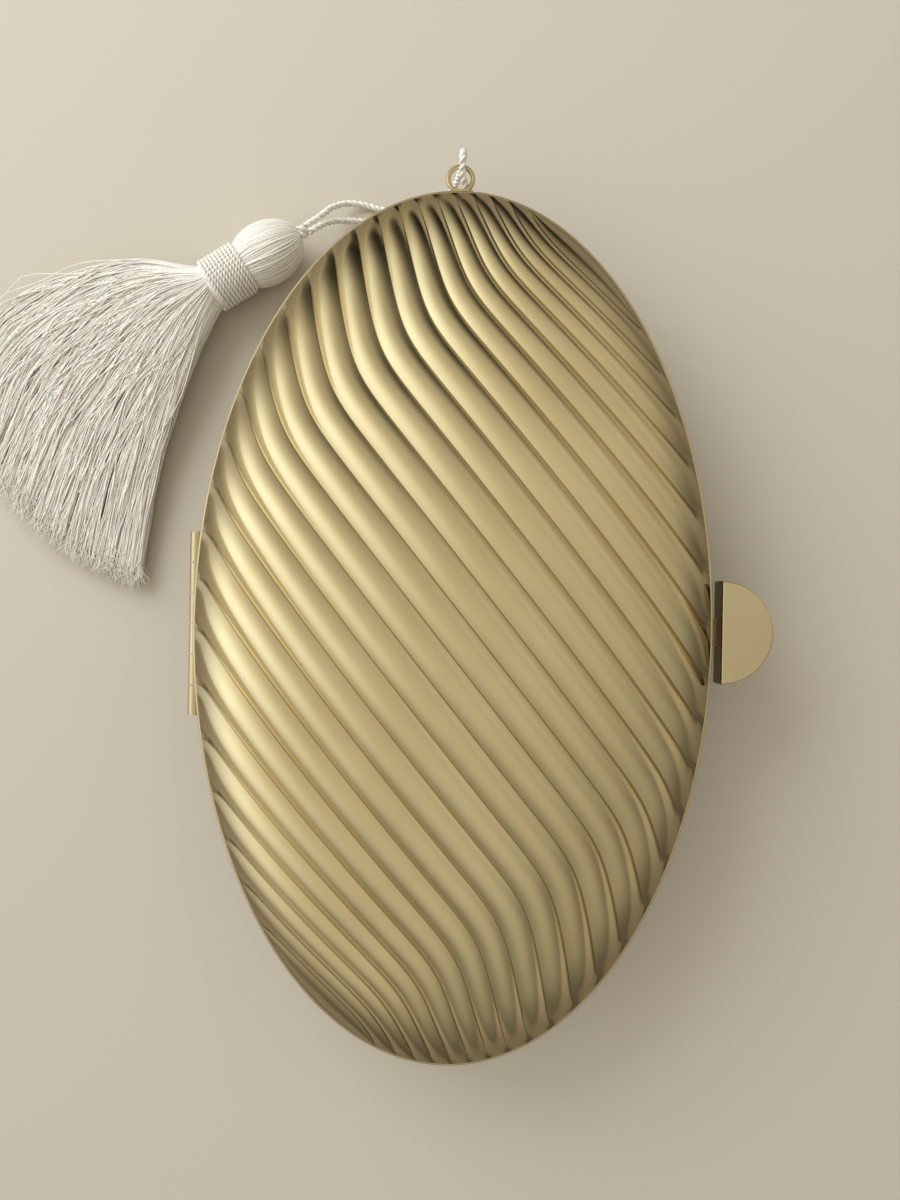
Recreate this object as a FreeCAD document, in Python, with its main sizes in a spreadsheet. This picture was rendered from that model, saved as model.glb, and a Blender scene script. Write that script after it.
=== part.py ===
"""Oval fluted brass evening case with a side hinge, a thumb-tab clasp and a silk tassel."""
import FreeCAD
import Part
import Sketcher
import math
import os

V = FreeCAD.Vector

# Driving sizes in millimetres, angles in degrees. The case lies on its back half, with +Z up, the clasp
# towards +X and the cord eye towards +Y. The origin is the middle of the lapped resting flat.
SIZES = {
    # case halves
    "case_length": 180.0,
    "case_width": 107.0,
    "dome_rise": 19.35,
    "dome_sink": 8.5,
    "shell_wall": 0.8,
    "lap_depth": 0.3,
    "flute_pitch": 6.18,
    "flute_lean": 51.0,
    # rims
    "frame_height": 3.0,
    "frame_width": 3.2,
    "frame_round": 0.4,
    "rim_border": 0.5,
    "parting_gap": 0.3,
    "lip_wall": 0.7,
    "lip_rise": 2.1,
    "lip_sink": 2.5,
    "lip_gap": 0.3,
    # lining
    "lining_thickness": 0.6,
    "lining_gap": 0.3,
    # hinge
    "hinge_length": 38.3,
    "knuckle_diameter": 3.0,
    "knuckle_gap": 0.3,
    "hinge_pin_diameter": 1.2,
    "pin_clearance": 0.05,
    "leaf_thickness": 0.6,
    "leaf_width": 3.0,
    "barrel_gap": 0.3,
    # clasp lever
    "tab_radius": 10.7,
    "tab_thickness": 6.4,
    "tab_gap": 2.0,
    "tab_round": 0.4,
    "tab_travel": 8.0,
    "neck_width": 6.0,
    "neck_thickness": 1.0,
    "neck_drop": 0.25,
    "neck_gap": 0.3,
    "clasp_pin_inset": 5.2,
    "clasp_pin_diameter": 1.2,
    "boss_diameter": 2.6,
    "finger_width": 4.0,
    "finger_thickness": 0.8,
    "finger_rise": 2.7,
    "finger_reach": 2.1,
    # clasp bracket
    "ear_thickness": 1.0,
    "ear_height": 3.4,
    "ear_depth": 3.6,
    "ear_gap": 0.3,
    "bar_thickness": 0.9,
    "bar_height": 1.2,
    "wall_gap": 0.1,
    # spring catch and keeper
    "spring_thickness": 0.4,
    "spring_width": 5.0,
    "spring_gap": 0.3,
    "hook_reach": 3.0,
    "hook_gap": 0.4,
    "keeper_width": 5.0,
    "keeper_thickness": 0.6,
    "keeper_reach": 3.3,
    "keeper_rise": 1.05,
    # cord eye
    "eye_bore": 4.2,
    "eye_wire": 1.0,
    "eye_reach": 4.3,
    "lug_width": 3.6,
    "lug_thickness": 1.6,
    # tassel
    "tassel_x": -36.3,
    "tassel_y": 87.3,
    "tassel_turn": 212.2,
    "tassel_lift": 0.1,
    "head_diameter": 13.6,
    "head_half_length": 8.6,
    "head_tip_angle": 75.0,
    "head_neck_angle": 39.0,
    "knot_diameter": 3.6,
    "knot_length": 2.4,
    "binding_length": 9.4,
    "binding_core": 10.6,
    "thread_diameter": 0.42,
    "thread_pitch": 0.86,
    "thread_gap": 0.02,
    "skirt_length": 63.0,
    "skirt_width": 60.0,
    "hem_thickness": 5.0,
    # cord
    "cord_diameter": 1.3,
    "cord_spread": 0.85,
    "cord_lead": 2.0,
    "cord_gap": 0.05,
}

# Counts and shares chosen by hand.
KNUCKLES = 6
LINE_POINTS = 61
DEPTH_SHARE = 0.19
BEND_START_SHARE = 0.958
BEND_EASE_SHARE = 0.058
BEND_SLOPE_SHARE = 0.363
BEND_GAIN_SHARE = 0.329
SIDE_SWEEP_SHARE = 0.134
LAST_LOBE_SHARE = 0.5
FADE_POWER = 30
SCAN_STEPS = 320
ARC_SHARE = 0.45

# Stations along the skirt as shares: distance along its length, shift to the side and turn of the section
# as shares of the length and of the full turn, half width, half thickness towards the hem.
SKIRT_TURN = 13.4
SKIRT_SHARES = (
    (0.0, 0.0, 0.0, 0.165, 0.0),
    (0.18, -0.015, 0.0, 0.41, 0.18),
    (0.40, 0.008, 0.43, 0.66, 0.45),
    (0.64, 0.094, 0.78, 0.88, 0.72),
    (0.875, 0.283, 1.0, 0.99, 0.92),
    (1.0, 0.34, 1.0, 0.62, 1.0),
)
ROOT_SHARE = 0.46
LEAST_WIDTH_SHARE = 1.03

# The loose cord's route: out of the knot, along the table, up to the eye, over its far side, down through
# its hole, out below its near side, down and back to the knot.
CORD_ROUTE = (
    (-31.0, 91.9, 6.4),
    (-29.3, 94.3, 4.8),
    (-26.4, 96.3, 2.5),
    (-22.4, 96.7, 0.95),
    (-17.8, 95.4, 0.8),
    (-12.6, 94.9, 0.8),
    (-7.2, 95.7, 1.2),
    (-2.6, 97.4, 4.4),
    (-0.5, 99.0, 9.6),
    (0.3, 99.9, 14.8),
    (0.6, 100.4, 19.2),
    (0.5, 99.6, 22.3),
    (0.3, 97.4, 23.4),
    (0.25, 95.2, 21.6),
    (0.9, 93.5, 19.8),
    (2.3, 92.2, 18.1),
    (4.1, 91.9, 16.2),
    (4.7, 92.4, 13.0),
    (2.9, 93.7, 8.8),
    (-1.6, 94.2, 3.8),
    (-6.6, 93.4, 1.1),
    (-12.0, 92.3, 0.8),
    (-17.6, 92.5, 0.8),
    (-22.6, 92.8, 0.95),
    (-26.9, 92.2, 2.8),
    (-29.8, 90.8, 5.4),
)

HALF_LENGTH = "Sizes.case_length / 2"
HALF_WIDTH = "Sizes.case_width / 2"
HALF_GAP = "Sizes.parting_gap / 2"
MID = "(Sizes.dome_rise + Sizes.frame_height + Sizes.parting_gap / 2 - Sizes.lap_depth)"
BACK_TOP = f"({MID} - {HALF_GAP})"
FRONT_LOW = f"({MID} + {HALF_GAP})"
BACK_FOOT = f"({BACK_TOP} - Sizes.frame_height)"
FRONT_FOOT = f"({FRONT_LOW} + Sizes.frame_height)"
OPENING_WIDTH = f"({HALF_WIDTH} - Sizes.frame_width)"
OPENING_LENGTH = f"({HALF_LENGTH} - Sizes.frame_width)"
FOOT_WIDTH = f"({HALF_WIDTH} - Sizes.rim_border)"
FOOT_LENGTH = f"({HALF_LENGTH} - Sizes.rim_border)"
PIN_X = f"({HALF_WIDTH} - Sizes.clasp_pin_inset)"
PIN_Z = f"({BACK_TOP} - Sizes.neck_drop - Sizes.neck_thickness / 2)"

doc = FreeCAD.newDocument("minaudiere")
sheet = doc.addObject("Spreadsheet::Sheet", "Sizes")
for row, (name, value) in enumerate(SIZES.items(), start=1):
    sheet.set(f"A{row}", name)
    sheet.set(f"B{row}", str(value))
    sheet.setAlias(f"B{row}", name)
doc.recompute()

nodes = []


def size(name):
    """Value of one size, read from the sheet."""
    return float(getattr(sheet, name))


def worth(formula):
    """Number that a formula of sheet sizes gives."""
    return float(sheet.evalExpression(formula))


def bind(thing, **formulas):
    """Tie properties of an object to formulas of the sheet's sizes."""
    for prop, formula in formulas.items():
        thing.setExpression(prop, str(formula))
    return thing


def place(thing, x="0", y="0", z="0", turn=None):
    """Put an object at formulas of the sizes, turned first."""
    thing.Placement = FreeCAD.Placement(V(), turn or FreeCAD.Rotation())
    for axis, formula in (("x", x), ("y", y), ("z", z)):
        thing.setExpression(f"Placement.Base.{axis}", str(formula))
    return thing


def node(thing, label):
    """Mark an object as one finished piece."""
    thing.Label = label
    nodes.append(thing)
    return thing


def box(label, x, y, z, length, width, height):
    """Block from its lowest corner and its sizes."""
    thing = bind(doc.addObject("Part::Box", label), Length=length, Width=width, Height=height)
    return place(thing, x, y, z)


ALONG_Y = FreeCAD.Rotation(V(1, 0, 0), -90)


def rod(label, x, y, z, radius, length):
    """Round bar along +Y."""
    thing = bind(doc.addObject("Part::Cylinder", label), Radius=radius, Height=length)
    return place(thing, x, y, z, ALONG_Y)


def oval(label, half_width, half_length, z, height):
    """Upright block with an elliptical outline, long along Y."""
    ring = doc.addObject("Part::Ellipse", label + "_line")
    bind(ring, MajorRadius=half_length, MinorRadius=half_width)
    place(ring, z=z, turn=FreeCAD.Rotation(V(0, 0, 1), 90))
    thing = doc.addObject("Part::Extrusion", label)
    thing.Base = ring
    thing.DirMode = "Custom"
    thing.Dir = V(0, 0, 1)
    thing.Solid = True
    return bind(thing, LengthFwd=height)


def bowl(label, half_width, half_length, rise, z, turn=None):
    """Ellipsoid cap, its middle sunk under its foot, that stands on the level z or hangs from it."""
    full = f"({rise} + Sizes.dome_sink)"
    foot = f"sqrt(1 - (Sizes.dome_sink / {full}) ^ 2)"
    thing = doc.addObject("Part::Ellipsoid", label)
    bind(thing, Radius1=full, Radius2=f"({half_width}) / {foot}", Radius3=f"({half_length}) / {foot}",
         Angle1=f"asin(Sizes.dome_sink / {full})")
    return place(thing, z=f"{z} {'+' if turn else '-'} Sizes.dome_sink", turn=turn)


def cut(label, base, *tools):
    """Base with the tools taken away, one after another."""
    for count, tool in enumerate(tools):
        step = doc.addObject("Part::Cut", f"{label}_cut{count}")
        step.Base = base
        step.Tool = tool
        base = step
    return base


def fuse(label, *things):
    """Things joined into one solid."""
    whole = doc.addObject("Part::MultiFuse", label)
    whole.Shapes = list(things)
    whole.Refine = True
    return whole


def rounded(label, base, radius, wanted):
    """Base with a fillet along each edge that the test picks."""
    doc.recompute()
    thing = doc.addObject("Part::Fillet", label)
    thing.Base = base
    thing.Edges = [(i, radius, radius) for i, edge in enumerate(base.Shape.Edges, start=1) if wanted(edge)]
    return thing


def profile(label, points, width):
    """Body padded along Y, evenly about the middle, from an outline of points in the XZ plane."""
    body = doc.addObject("PartDesign::Body", label)
    plane = next(p for p in body.Origin.OriginFeatures if p.Role == "XZ_Plane")
    sketch = body.newObject("Sketcher::SketchObject", label + "_outline")
    sketch.AttachmentSupport = [(plane, "")]
    sketch.MapMode = "FlatFace"
    spots = [V(worth(x), worth(z), 0) for x, z in points]
    count = len(spots)
    for i in range(count):
        sketch.addGeometry(Part.LineSegment(spots[i], spots[(i + 1) % count]), False)
    for i in range(count):
        sketch.addConstraint(Sketcher.Constraint("Coincident", i, 2, (i + 1) % count, 1))
    for i, (x, z) in enumerate(points):
        for kind, value, formula in (("DistanceX", spots[i].x, x), ("DistanceY", spots[i].y, z)):
            place_at = sketch.addConstraint(Sketcher.Constraint(kind, -1, 1, i, 1, value))
            sketch.setExpression(f"Constraints[{place_at}]", formula)
    doc.recompute()
    pad = body.newObject("PartDesign::Pad", label + "_pad")
    pad.Profile = sketch
    pad.SideType = "Symmetric"
    bind(pad, Length=width)
    return body


# Swirl-fluted dome: lobes of even pitch lean across the oval, bend upright near its ends and sweep along
# its sides. Each lobe is a parabola across, from valley to valley over its crest.

def past_bend(along):
    """Share of the half width by which a place along the flutes lies past the eased bend."""
    return BEND_EASE_SHARE * math.log1p(math.exp((along - BEND_START_SHARE) / BEND_EASE_SHARE))


def flute_spot(along, phase):
    """Plan point on the line of one flute phase, at a share of the half width along the flutes."""
    half = worth(HALF_WIDTH)
    lean = math.radians(size("flute_lean"))
    ahead, behind = past_bend(along), past_bend(-along)
    fanning = 1 - BEND_GAIN_SHARE * (ahead + behind)
    target = phase * size("flute_pitch") / half - BEND_SLOPE_SHARE * (ahead - behind)
    across = target / fanning
    for _ in range(12):
        miss = across * fanning - SIDE_SWEEP_SHARE * along * across ** 4 - target
        across -= miss / (fanning - 4 * SIDE_SWEEP_SHARE * along * across ** 3)
    x = half * (along * math.cos(lean) + across * math.sin(lean))
    y = half * (across * math.cos(lean) - along * math.sin(lean))
    return x, y


def flute_phase(x, y):
    """Count of flutes from the middle of the case to a plan point."""
    half = worth(HALF_WIDTH)
    lean = math.radians(size("flute_lean"))
    along = (x * math.cos(lean) - y * math.sin(lean)) / half
    across = (x * math.sin(lean) + y * math.cos(lean)) / half
    ahead, behind = past_bend(along), past_bend(-along)
    bent = across * (1 - BEND_GAIN_SHARE * (ahead + behind)) + BEND_SLOPE_SHARE * (ahead - behind)
    return (bent - SIDE_SWEEP_SHARE * along * across ** 4) * half / size("flute_pitch")


def local_pitch(x, y):
    """Width of one flute at a plan point."""
    step = size("flute_pitch") / SCAN_STEPS
    slope_x = (flute_phase(x + step, y) - flute_phase(x - step, y)) / (2 * step)
    slope_y = (flute_phase(x, y + step) - flute_phase(x, y - step)) / (2 * step)
    return 1 / math.hypot(slope_x, slope_y)


def reach(x, y):
    """Share of the way from the middle of the dome to its foot."""
    return math.hypot(x / worth(FOOT_WIDTH), y / worth(FOOT_LENGTH))


def dome_point(x, y, sunk):
    """Point on the dome above its foot, sunk square to it by a share of the flute depth there."""
    share = min(reach(x, y), 1.0)
    sink = size("dome_sink")
    full = size("dome_rise") + sink
    foot = math.sqrt(1 - (sink / full) ** 2)
    high = full * math.sqrt(1 - (share * foot) ** 2)
    depth = sunk * DEPTH_SHARE * local_pitch(x, y) * (1 - share ** FADE_POWER)
    normal = V(x * (foot / worth(FOOT_WIDTH)) ** 2, y * (foot / worth(FOOT_LENGTH)) ** 2, high / full ** 2)
    return V(x, y, high - sink) - normal.normalize() * depth


def fullest_rim():
    """Greatest flute phase on the dome's foot, and the share along the flutes where it lies."""
    lean = math.radians(size("flute_lean"))
    best = (0.0, 0.0)
    for i in range(SCAN_STEPS):
        angle = 2 * math.pi * i / SCAN_STEPS
        x, y = worth(FOOT_WIDTH) * math.cos(angle), worth(FOOT_LENGTH) * math.sin(angle)
        along = (x * math.cos(lean) - y * math.sin(lean)) / worth(HALF_WIDTH)
        best = max(best, (flute_phase(x, y), along))
    return best


def rim_ends(phase):
    """Shares along the flutes where the line of one phase meets the dome's foot."""
    most, seat = fullest_rim()
    stride = worth(HALF_LENGTH) / worth(HALF_WIDTH) / SCAN_STEPS
    ends = []
    for outward in (-stride, stride):
        low = seat * phase / most
        high = low + outward
        while reach(*flute_spot(high, phase)) < 1:
            low, high = high, high + outward
        for _ in range(50):
            middle = (low + high) / 2
            if reach(*flute_spot(middle, phase)) < 1:
                low = middle
            else:
                high = middle
        ends.append((low + high) / 2)
    return ends


SHARES = [i / (LINE_POINTS - 1) for i in range(LINE_POINTS)]


def smooth_line(points):
    """Cubic curve through evenly numbered points."""
    curve = Part.BSplineCurve()
    curve.interpolate(Points=points, Parameters=SHARES)
    return curve


def flute_line(phase, sunk):
    """Curve of one phase over the dome, through even steps from foot to foot."""
    start, end = rim_ends(phase)
    points = []
    for share in SHARES:
        along = start + (end - start) * share
        points.append(dome_point(*flute_spot(along, phase), sunk))
    points[0].z = points[-1].z = 0
    return smooth_line(points)


def lobe(first, crest, second):
    """Face of one lobe between two valley curves, over its crest curve."""
    rows = []
    for a, c, b in zip(first.getPoles(), crest.getPoles(), second.getPoles()):
        rows.append([a, c * 2 - (a + b) * 0.5, b])
    face = Part.BSplineSurface()
    knots = first.getKnots()
    mults = first.getMultiplicities()
    face.buildFromPolesMultsKnots(rows, mults, [3, 3], knots, [0.0, 1.0], False, False, first.Degree, 2)
    return face.toShape()


def end_lobe(valley):
    """Face of the crescent between the last valley and the foot beside it."""
    start, end = valley.StartPoint, valley.EndPoint
    wide, tall = worth(FOOT_WIDTH), worth(FOOT_LENGTH)
    turn_start = math.atan2(start.y / tall, start.x / wide)
    turn = math.atan2(end.y / tall, end.x / wide) - turn_start
    turn = (turn + math.pi) % (2 * math.pi) - math.pi
    rim, crest = [], []
    for i, share in enumerate(SHARES):
        angle = turn_start + turn * share
        rim.append(V(wide * math.cos(angle), tall * math.sin(angle), 0))
        low = valley.value(share)
        edge = i in (0, LINE_POINTS - 1)
        crest.append(rim[-1] if edge else dome_point((rim[-1].x + low.x) / 2, (rim[-1].y + low.y) / 2, 0.0))
    rim[0], rim[-1] = start, end
    crest[0], crest[-1] = start, end
    return lobe(valley, smooth_line(crest), smooth_line(rim))


PRESSING = f"(Sizes.shell_wall + {DEPTH_SHARE} * Sizes.flute_pitch)"
HOLLOW_RISE = f"(Sizes.dome_rise - {PRESSING})"
HOLLOW_WIDTH = f"({FOOT_WIDTH} - {PRESSING})"
HOLLOW_LENGTH = f"({FOOT_LENGTH} - {PRESSING})"


def smooth_hollow():
    """Curved face of the plain dome inside a fluted half, open at its foot."""
    sink = size("dome_sink")
    full = worth(HOLLOW_RISE) + sink
    foot = math.sqrt(1 - (sink / full) ** 2)
    ball = Part.makeSphere(1.0, V(), V(0, 0, 1), math.degrees(math.asin(sink / full)), 90, 360)
    stretch = FreeCAD.Matrix()
    stretch.scale(V(worth(HOLLOW_WIDTH) / foot, worth(HOLLOW_LENGTH) / foot, full))
    stretch.move(V(0, 0, -sink))
    faces = ball.transformGeometry(stretch).Faces
    return max(faces, key=lambda face: face.BoundBox.ZLength)


def on_foot(edge):
    """Test for an edge that lies in the foot's plane."""
    least = size("flute_pitch") / SCAN_STEPS / SCAN_STEPS
    return not edge.Degenerated and edge.BoundBox.ZMax < least and edge.BoundBox.ZMin > -least


def fluted_dome():
    """Hollow fluted dome, its flat foot on the XY plane."""
    last = math.floor(fullest_rim()[0] - LAST_LOBE_SHARE + 0.5) - 0.5
    valleys = [flute_line(-last + i, 1.0) for i in range(int(2 * last) + 1)]
    crests = [flute_line(-last + i + 0.5, 0.0) for i in range(int(2 * last))]
    faces = [lobe(valleys[i], crests[i], valleys[i + 1]) for i in range(len(crests))]
    faces += [end_lobe(valleys[0]), end_lobe(valleys[-1])]
    inside = smooth_hollow()
    rims = []
    for group in (faces, [inside]):
        edges = [edge for face in group for edge in face.Edges if on_foot(edge)]
        rims.append(Part.Wire(Part.__sortEdges__(edges)))
    shell = Part.Shell(faces + [Part.Face(rims), inside])
    shell.sewShape()
    print("fluted dome:", len(valleys), "valleys,", "closed" if shell.isClosed() else "open")
    dome = Part.Solid(shell)
    if dome.Volume < 0:
        dome.reverse()
    return dome


TURNED_OVER = FreeCAD.Rotation(V(0, 1, 0), 180)


def make_shells():
    """The two fluted halves: one pressing, the second turned over and lapped flat where it rests."""
    dome = fluted_dome()
    for side, foot, turn in (("front", FRONT_FOOT, None), ("back", BACK_FOOT, TURNED_OVER)):
        form = doc.addObject("Part::Feature", side + "_form")
        form.Shape = dome
        place(form, z=foot, turn=turn)
        if side == "back":
            lap = box("lap", f"-{HALF_WIDTH}", f"-{HALF_LENGTH}", "-Sizes.dome_rise",
                      "Sizes.case_width", "Sizes.case_length", "Sizes.dome_rise")
            form = cut("back_lapped", form, lap)
        node(form, side + "_shell")
        cloth_width = f"{HOLLOW_WIDTH} - Sizes.lining_gap"
        cloth_length = f"{HOLLOW_LENGTH} - Sizes.lining_gap"
        cloth_rise = f"{HOLLOW_RISE} - Sizes.lining_gap"
        outer = bowl(side + "_cloth", cloth_width, cloth_length, cloth_rise, foot, turn)
        inner = bowl(side + "_cloth_room", f"{cloth_width} - Sizes.lining_thickness",
                     f"{cloth_length} - Sizes.lining_thickness", f"{cloth_rise} - Sizes.lining_thickness",
                     foot, turn)
        node(cut(side + "_lining", outer, inner), side + "_lining")


def at_level(level):
    """Test for a level edge at a height."""
    near = size("parting_gap")
    return lambda edge: abs(edge.BoundBox.ZMin - level) < near and edge.BoundBox.ZLength < near


def neck_slot(side, low, high):
    """Room in a rim for the clasp lever's neck."""
    width = "Sizes.neck_width + 2 * Sizes.neck_gap"
    return box(side + "_neck_slot", f"{OPENING_WIDTH} - Sizes.frame_width", f"-({width}) / 2", low,
               "3 * Sizes.frame_width", width, f"{high} - {low}")


def make_frames():
    """Oval rims with room for the hinge barrel, its leaves and the clasp's neck, and the closing lip."""
    barrel_length = "Sizes.hinge_length + 2 * Sizes.barrel_gap"
    lift = "Sizes.clasp_pin_inset * sin(Sizes.tab_travel)"
    for side, low, outer_level, room in (
        ("back", BACK_FOOT, BACK_FOOT, "0"),
        ("front", FRONT_LOW, FRONT_FOOT, "Sizes.lip_gap"),
    ):
        rim = oval(side + "_rim", HALF_WIDTH, HALF_LENGTH, low, "Sizes.frame_height")
        soft = rounded(side + "_rim_round", rim, size("frame_round"), at_level(worth(outer_level)))
        opening = oval(side + "_opening", f"{OPENING_WIDTH} + {room}", f"{OPENING_LENGTH} + {room}", low,
                       "Sizes.frame_height")
        barrel = rod(side + "_barrel_room", f"-{HALF_WIDTH}", f"-({barrel_length}) / 2", MID,
                     "Sizes.knuckle_diameter / 2 + Sizes.barrel_gap", barrel_length)
        leaf_low = f"{BACK_TOP} - Sizes.leaf_thickness" if side == "back" else FRONT_LOW
        mortise = box(side + "_mortise", f"-{HALF_WIDTH}", f"-({barrel_length}) / 2", leaf_low,
                      "Sizes.frame_width + Sizes.lip_gap", barrel_length, "Sizes.leaf_thickness")
        if side == "back":
            slot = neck_slot(side, f"({PIN_Z} - Sizes.neck_thickness / 2 - Sizes.neck_gap)", BACK_TOP)
        else:
            slot_top = f"({PIN_Z} + Sizes.neck_thickness / 2 + {lift} + Sizes.neck_gap)"
            slot = neck_slot(side, FRONT_LOW, slot_top)
        node(cut(side + "_frame", soft, opening, barrel, mortise, slot), side + "_frame")
    low = f"({BACK_TOP} - Sizes.lip_sink)"
    height = "Sizes.lip_sink + Sizes.lip_rise"
    band = oval("lip_band", OPENING_WIDTH, OPENING_LENGTH, low, height)
    inside = oval("lip_inside", f"{OPENING_WIDTH} - Sizes.lip_wall", f"{OPENING_LENGTH} - Sizes.lip_wall",
                  low, height)
    half_gap = "(Sizes.neck_width / 2 + Sizes.ear_gap + Sizes.ear_thickness + Sizes.neck_gap)"
    gap = box("lip_clasp_room", f"{OPENING_WIDTH} - 2 * Sizes.frame_width", f"-{half_gap}", low,
              "3 * Sizes.frame_width", f"2 * {half_gap}", height)
    node(cut("closing_lip", band, inside, gap), "closing_lip")


def make_hinge():
    """Two leaves with knuckles in turn along one pin, at the edge of the case on the parting plane."""
    knuckle = f"(Sizes.hinge_length / {KNUCKLES})"
    start = "(-Sizes.hinge_length / 2)"
    clear = "(Sizes.knuckle_diameter / 2 + Sizes.barrel_gap)"
    bore_radius = "Sizes.hinge_pin_diameter / 2 + Sizes.pin_clearance"
    for side, first in (("front", 0), ("back", 1)):
        low = f"{BACK_TOP} - Sizes.leaf_thickness" if side == "back" else FRONT_LOW
        pieces = [box(side + "_leaf_plate", f"-{HALF_WIDTH} + {clear}", start, low,
                      f"Sizes.leaf_width - {clear}", "Sizes.hinge_length", "Sizes.leaf_thickness")]
        for k in range(first, KNUCKLES, 2):
            y = f"{start} + {k} * {knuckle} + Sizes.knuckle_gap / 2"
            length = f"{knuckle} - Sizes.knuckle_gap"
            barrel = rod(f"{side}_knuckle{k}", f"-{HALF_WIDTH}", y, MID, "Sizes.knuckle_diameter / 2", length)
            bridge = box(f"{side}_bridge{k}", f"-{HALF_WIDTH}", y, low, clear, length, "Sizes.leaf_thickness")
            pieces += [barrel, bridge]
        bore = rod(side + "_bore", f"-{HALF_WIDTH}", f"{start} - Sizes.knuckle_gap", MID, bore_radius,
                   "Sizes.hinge_length + 2 * Sizes.knuckle_gap")
        node(cut(side + "_hinge_leaf", fuse(side + "_leaf", *pieces), bore), side + "_hinge_leaf")
    pin = rod("pin", f"-{HALF_WIDTH}", start, MID, "Sizes.hinge_pin_diameter / 2", "Sizes.hinge_length")
    node(pin, "hinge_pin")


def make_clasp():
    """Thumb tab on a lever and its pin, the bracket that carries them, the hooked leaf and its keeper."""
    half_neck = "(Sizes.neck_width / 2)"
    tab_x = f"({HALF_WIDTH} + Sizes.tab_gap)"
    disc = doc.addObject("Part::Cylinder", "tab_disc")
    bind(disc, Radius="Sizes.tab_radius", Height="Sizes.tab_thickness")
    disc.Angle = 180
    place(disc, tab_x, "0", f"{PIN_Z} - Sizes.tab_thickness / 2", FreeCAD.Rotation(V(0, 0, 1), -90))
    soft = size("tab_round")
    tab = rounded("tab_soft", disc, soft, lambda edge: edge.BoundBox.ZLength < soft)
    neck = box("tab_neck", PIN_X, f"-{half_neck}", f"{PIN_Z} - Sizes.neck_thickness / 2",
               f"{tab_x} - {PIN_X} + Sizes.tab_round", "Sizes.neck_width", "Sizes.neck_thickness")
    boss = rod("tab_boss", PIN_X, f"-{half_neck}", PIN_Z, "Sizes.boss_diameter / 2", "Sizes.neck_width")
    finger_x = f"({PIN_X} - Sizes.finger_reach)"
    arm = box("tab_arm", finger_x, "-Sizes.finger_width / 2", f"{PIN_Z} - Sizes.neck_thickness / 2",
              "Sizes.finger_reach", "Sizes.finger_width", "Sizes.neck_thickness")
    finger_height = "Sizes.finger_rise + Sizes.neck_thickness / 2"
    finger = box("tab_finger", finger_x, "-Sizes.finger_width / 2", f"{PIN_Z} - Sizes.neck_thickness / 2",
                 "Sizes.finger_thickness", "Sizes.finger_width", finger_height)
    pin_radius = "Sizes.clasp_pin_diameter / 2"
    bore = rod("tab_bore", PIN_X, f"-{half_neck}", PIN_Z, f"{pin_radius} + Sizes.pin_clearance",
               "Sizes.neck_width")
    node(cut("clasp_tab", fuse("lever", tab, neck, boss, arm, finger), bore), "clasp_tab")

    ear_y = f"({half_neck} + Sizes.ear_gap)"
    ear_x = f"({OPENING_WIDTH} - Sizes.wall_gap - Sizes.ear_depth)"
    ear_low = f"({PIN_Z} + Sizes.boss_diameter / 2 - Sizes.ear_height)"
    ears = [box(f"ear{i}", ear_x, y, ear_low, "Sizes.ear_depth", "Sizes.ear_thickness", "Sizes.ear_height")
            for i, y in enumerate((ear_y, f"-{ear_y} - Sizes.ear_thickness"))]
    pin_length = f"2 * ({ear_y} + Sizes.ear_thickness)"
    bar_x = f"({OPENING_WIDTH} - Sizes.wall_gap - Sizes.bar_thickness)"
    bar = box("ear_bar", bar_x, f"-({pin_length}) / 2", ear_low, "Sizes.bar_thickness", pin_length,
              "Sizes.bar_height")
    pin_hole = rod("ear_hole", PIN_X, f"-({pin_length}) / 2", PIN_Z, pin_radius, pin_length)
    node(cut("clasp_bracket", fuse("ears", bar, *ears), pin_hole), "clasp_bracket")
    pin = rod("lever_pin", PIN_X, f"-({pin_length}) / 2", PIN_Z, pin_radius, pin_length)
    node(pin, "clasp_pin")

    ledge_low = f"({FRONT_LOW} + Sizes.keeper_rise)"
    ledge_top = f"({ledge_low} + Sizes.keeper_thickness)"
    wall = f"({OPENING_WIDTH} + Sizes.lip_gap - Sizes.wall_gap)"
    flange = f"({wall} - Sizes.keeper_thickness)"
    tip = f"({wall} - Sizes.keeper_reach)"
    flange_top = f"({FRONT_FOOT} - Sizes.wall_gap)"
    flange_low = f"({FRONT_LOW} + Sizes.wall_gap)"
    node(profile("keeper", [(wall, flange_low), (wall, flange_top), (flange, flange_top), (flange, ledge_top),
                            (tip, ledge_top), (tip, ledge_low), (flange, ledge_low), (flange, flange_low)],
                 "Sizes.keeper_width"), "catch_keeper")

    thick = "Sizes.spring_thickness"
    leaf_out = f"({finger_x} - Sizes.spring_gap)"
    leaf_in = f"({leaf_out} - {thick})"
    hook_low = f"({ledge_top} + Sizes.hook_gap)"
    hook_x = f"{leaf_out} + Sizes.hook_reach"
    foot_top = f"{ear_low} + {thick}"
    hook_top = f"{hook_low} + {thick}"
    node(profile("spring", [(bar_x, ear_low), (bar_x, foot_top), (leaf_out, foot_top), (leaf_out, hook_low),
                            (hook_x, hook_low), (hook_x, hook_top), (leaf_in, hook_top), (leaf_in, ear_low)],
                 "Sizes.spring_width"), "catch_spring")


def make_eye():
    """Ring and lug on the end of the back rim."""
    level = f"({BACK_FOOT} + Sizes.frame_height / 2)"
    ring = bind(doc.addObject("Part::Torus", "eye_ring"), Radius1="(Sizes.eye_bore + Sizes.eye_wire) / 2",
                Radius2="Sizes.eye_wire / 2")
    place(ring, "0", f"{HALF_LENGTH} + Sizes.eye_reach", level)
    lug_length = "Sizes.eye_reach - Sizes.eye_bore / 2"
    lug = box("eye_lug", "-Sizes.lug_width / 2", HALF_LENGTH, f"{level} - Sizes.lug_thickness / 2",
              "Sizes.lug_width", f"{lug_length} - Sizes.eye_wire / 4", "Sizes.lug_thickness")
    node(fuse("eye", ring, lug), "cord_eye")


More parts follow.
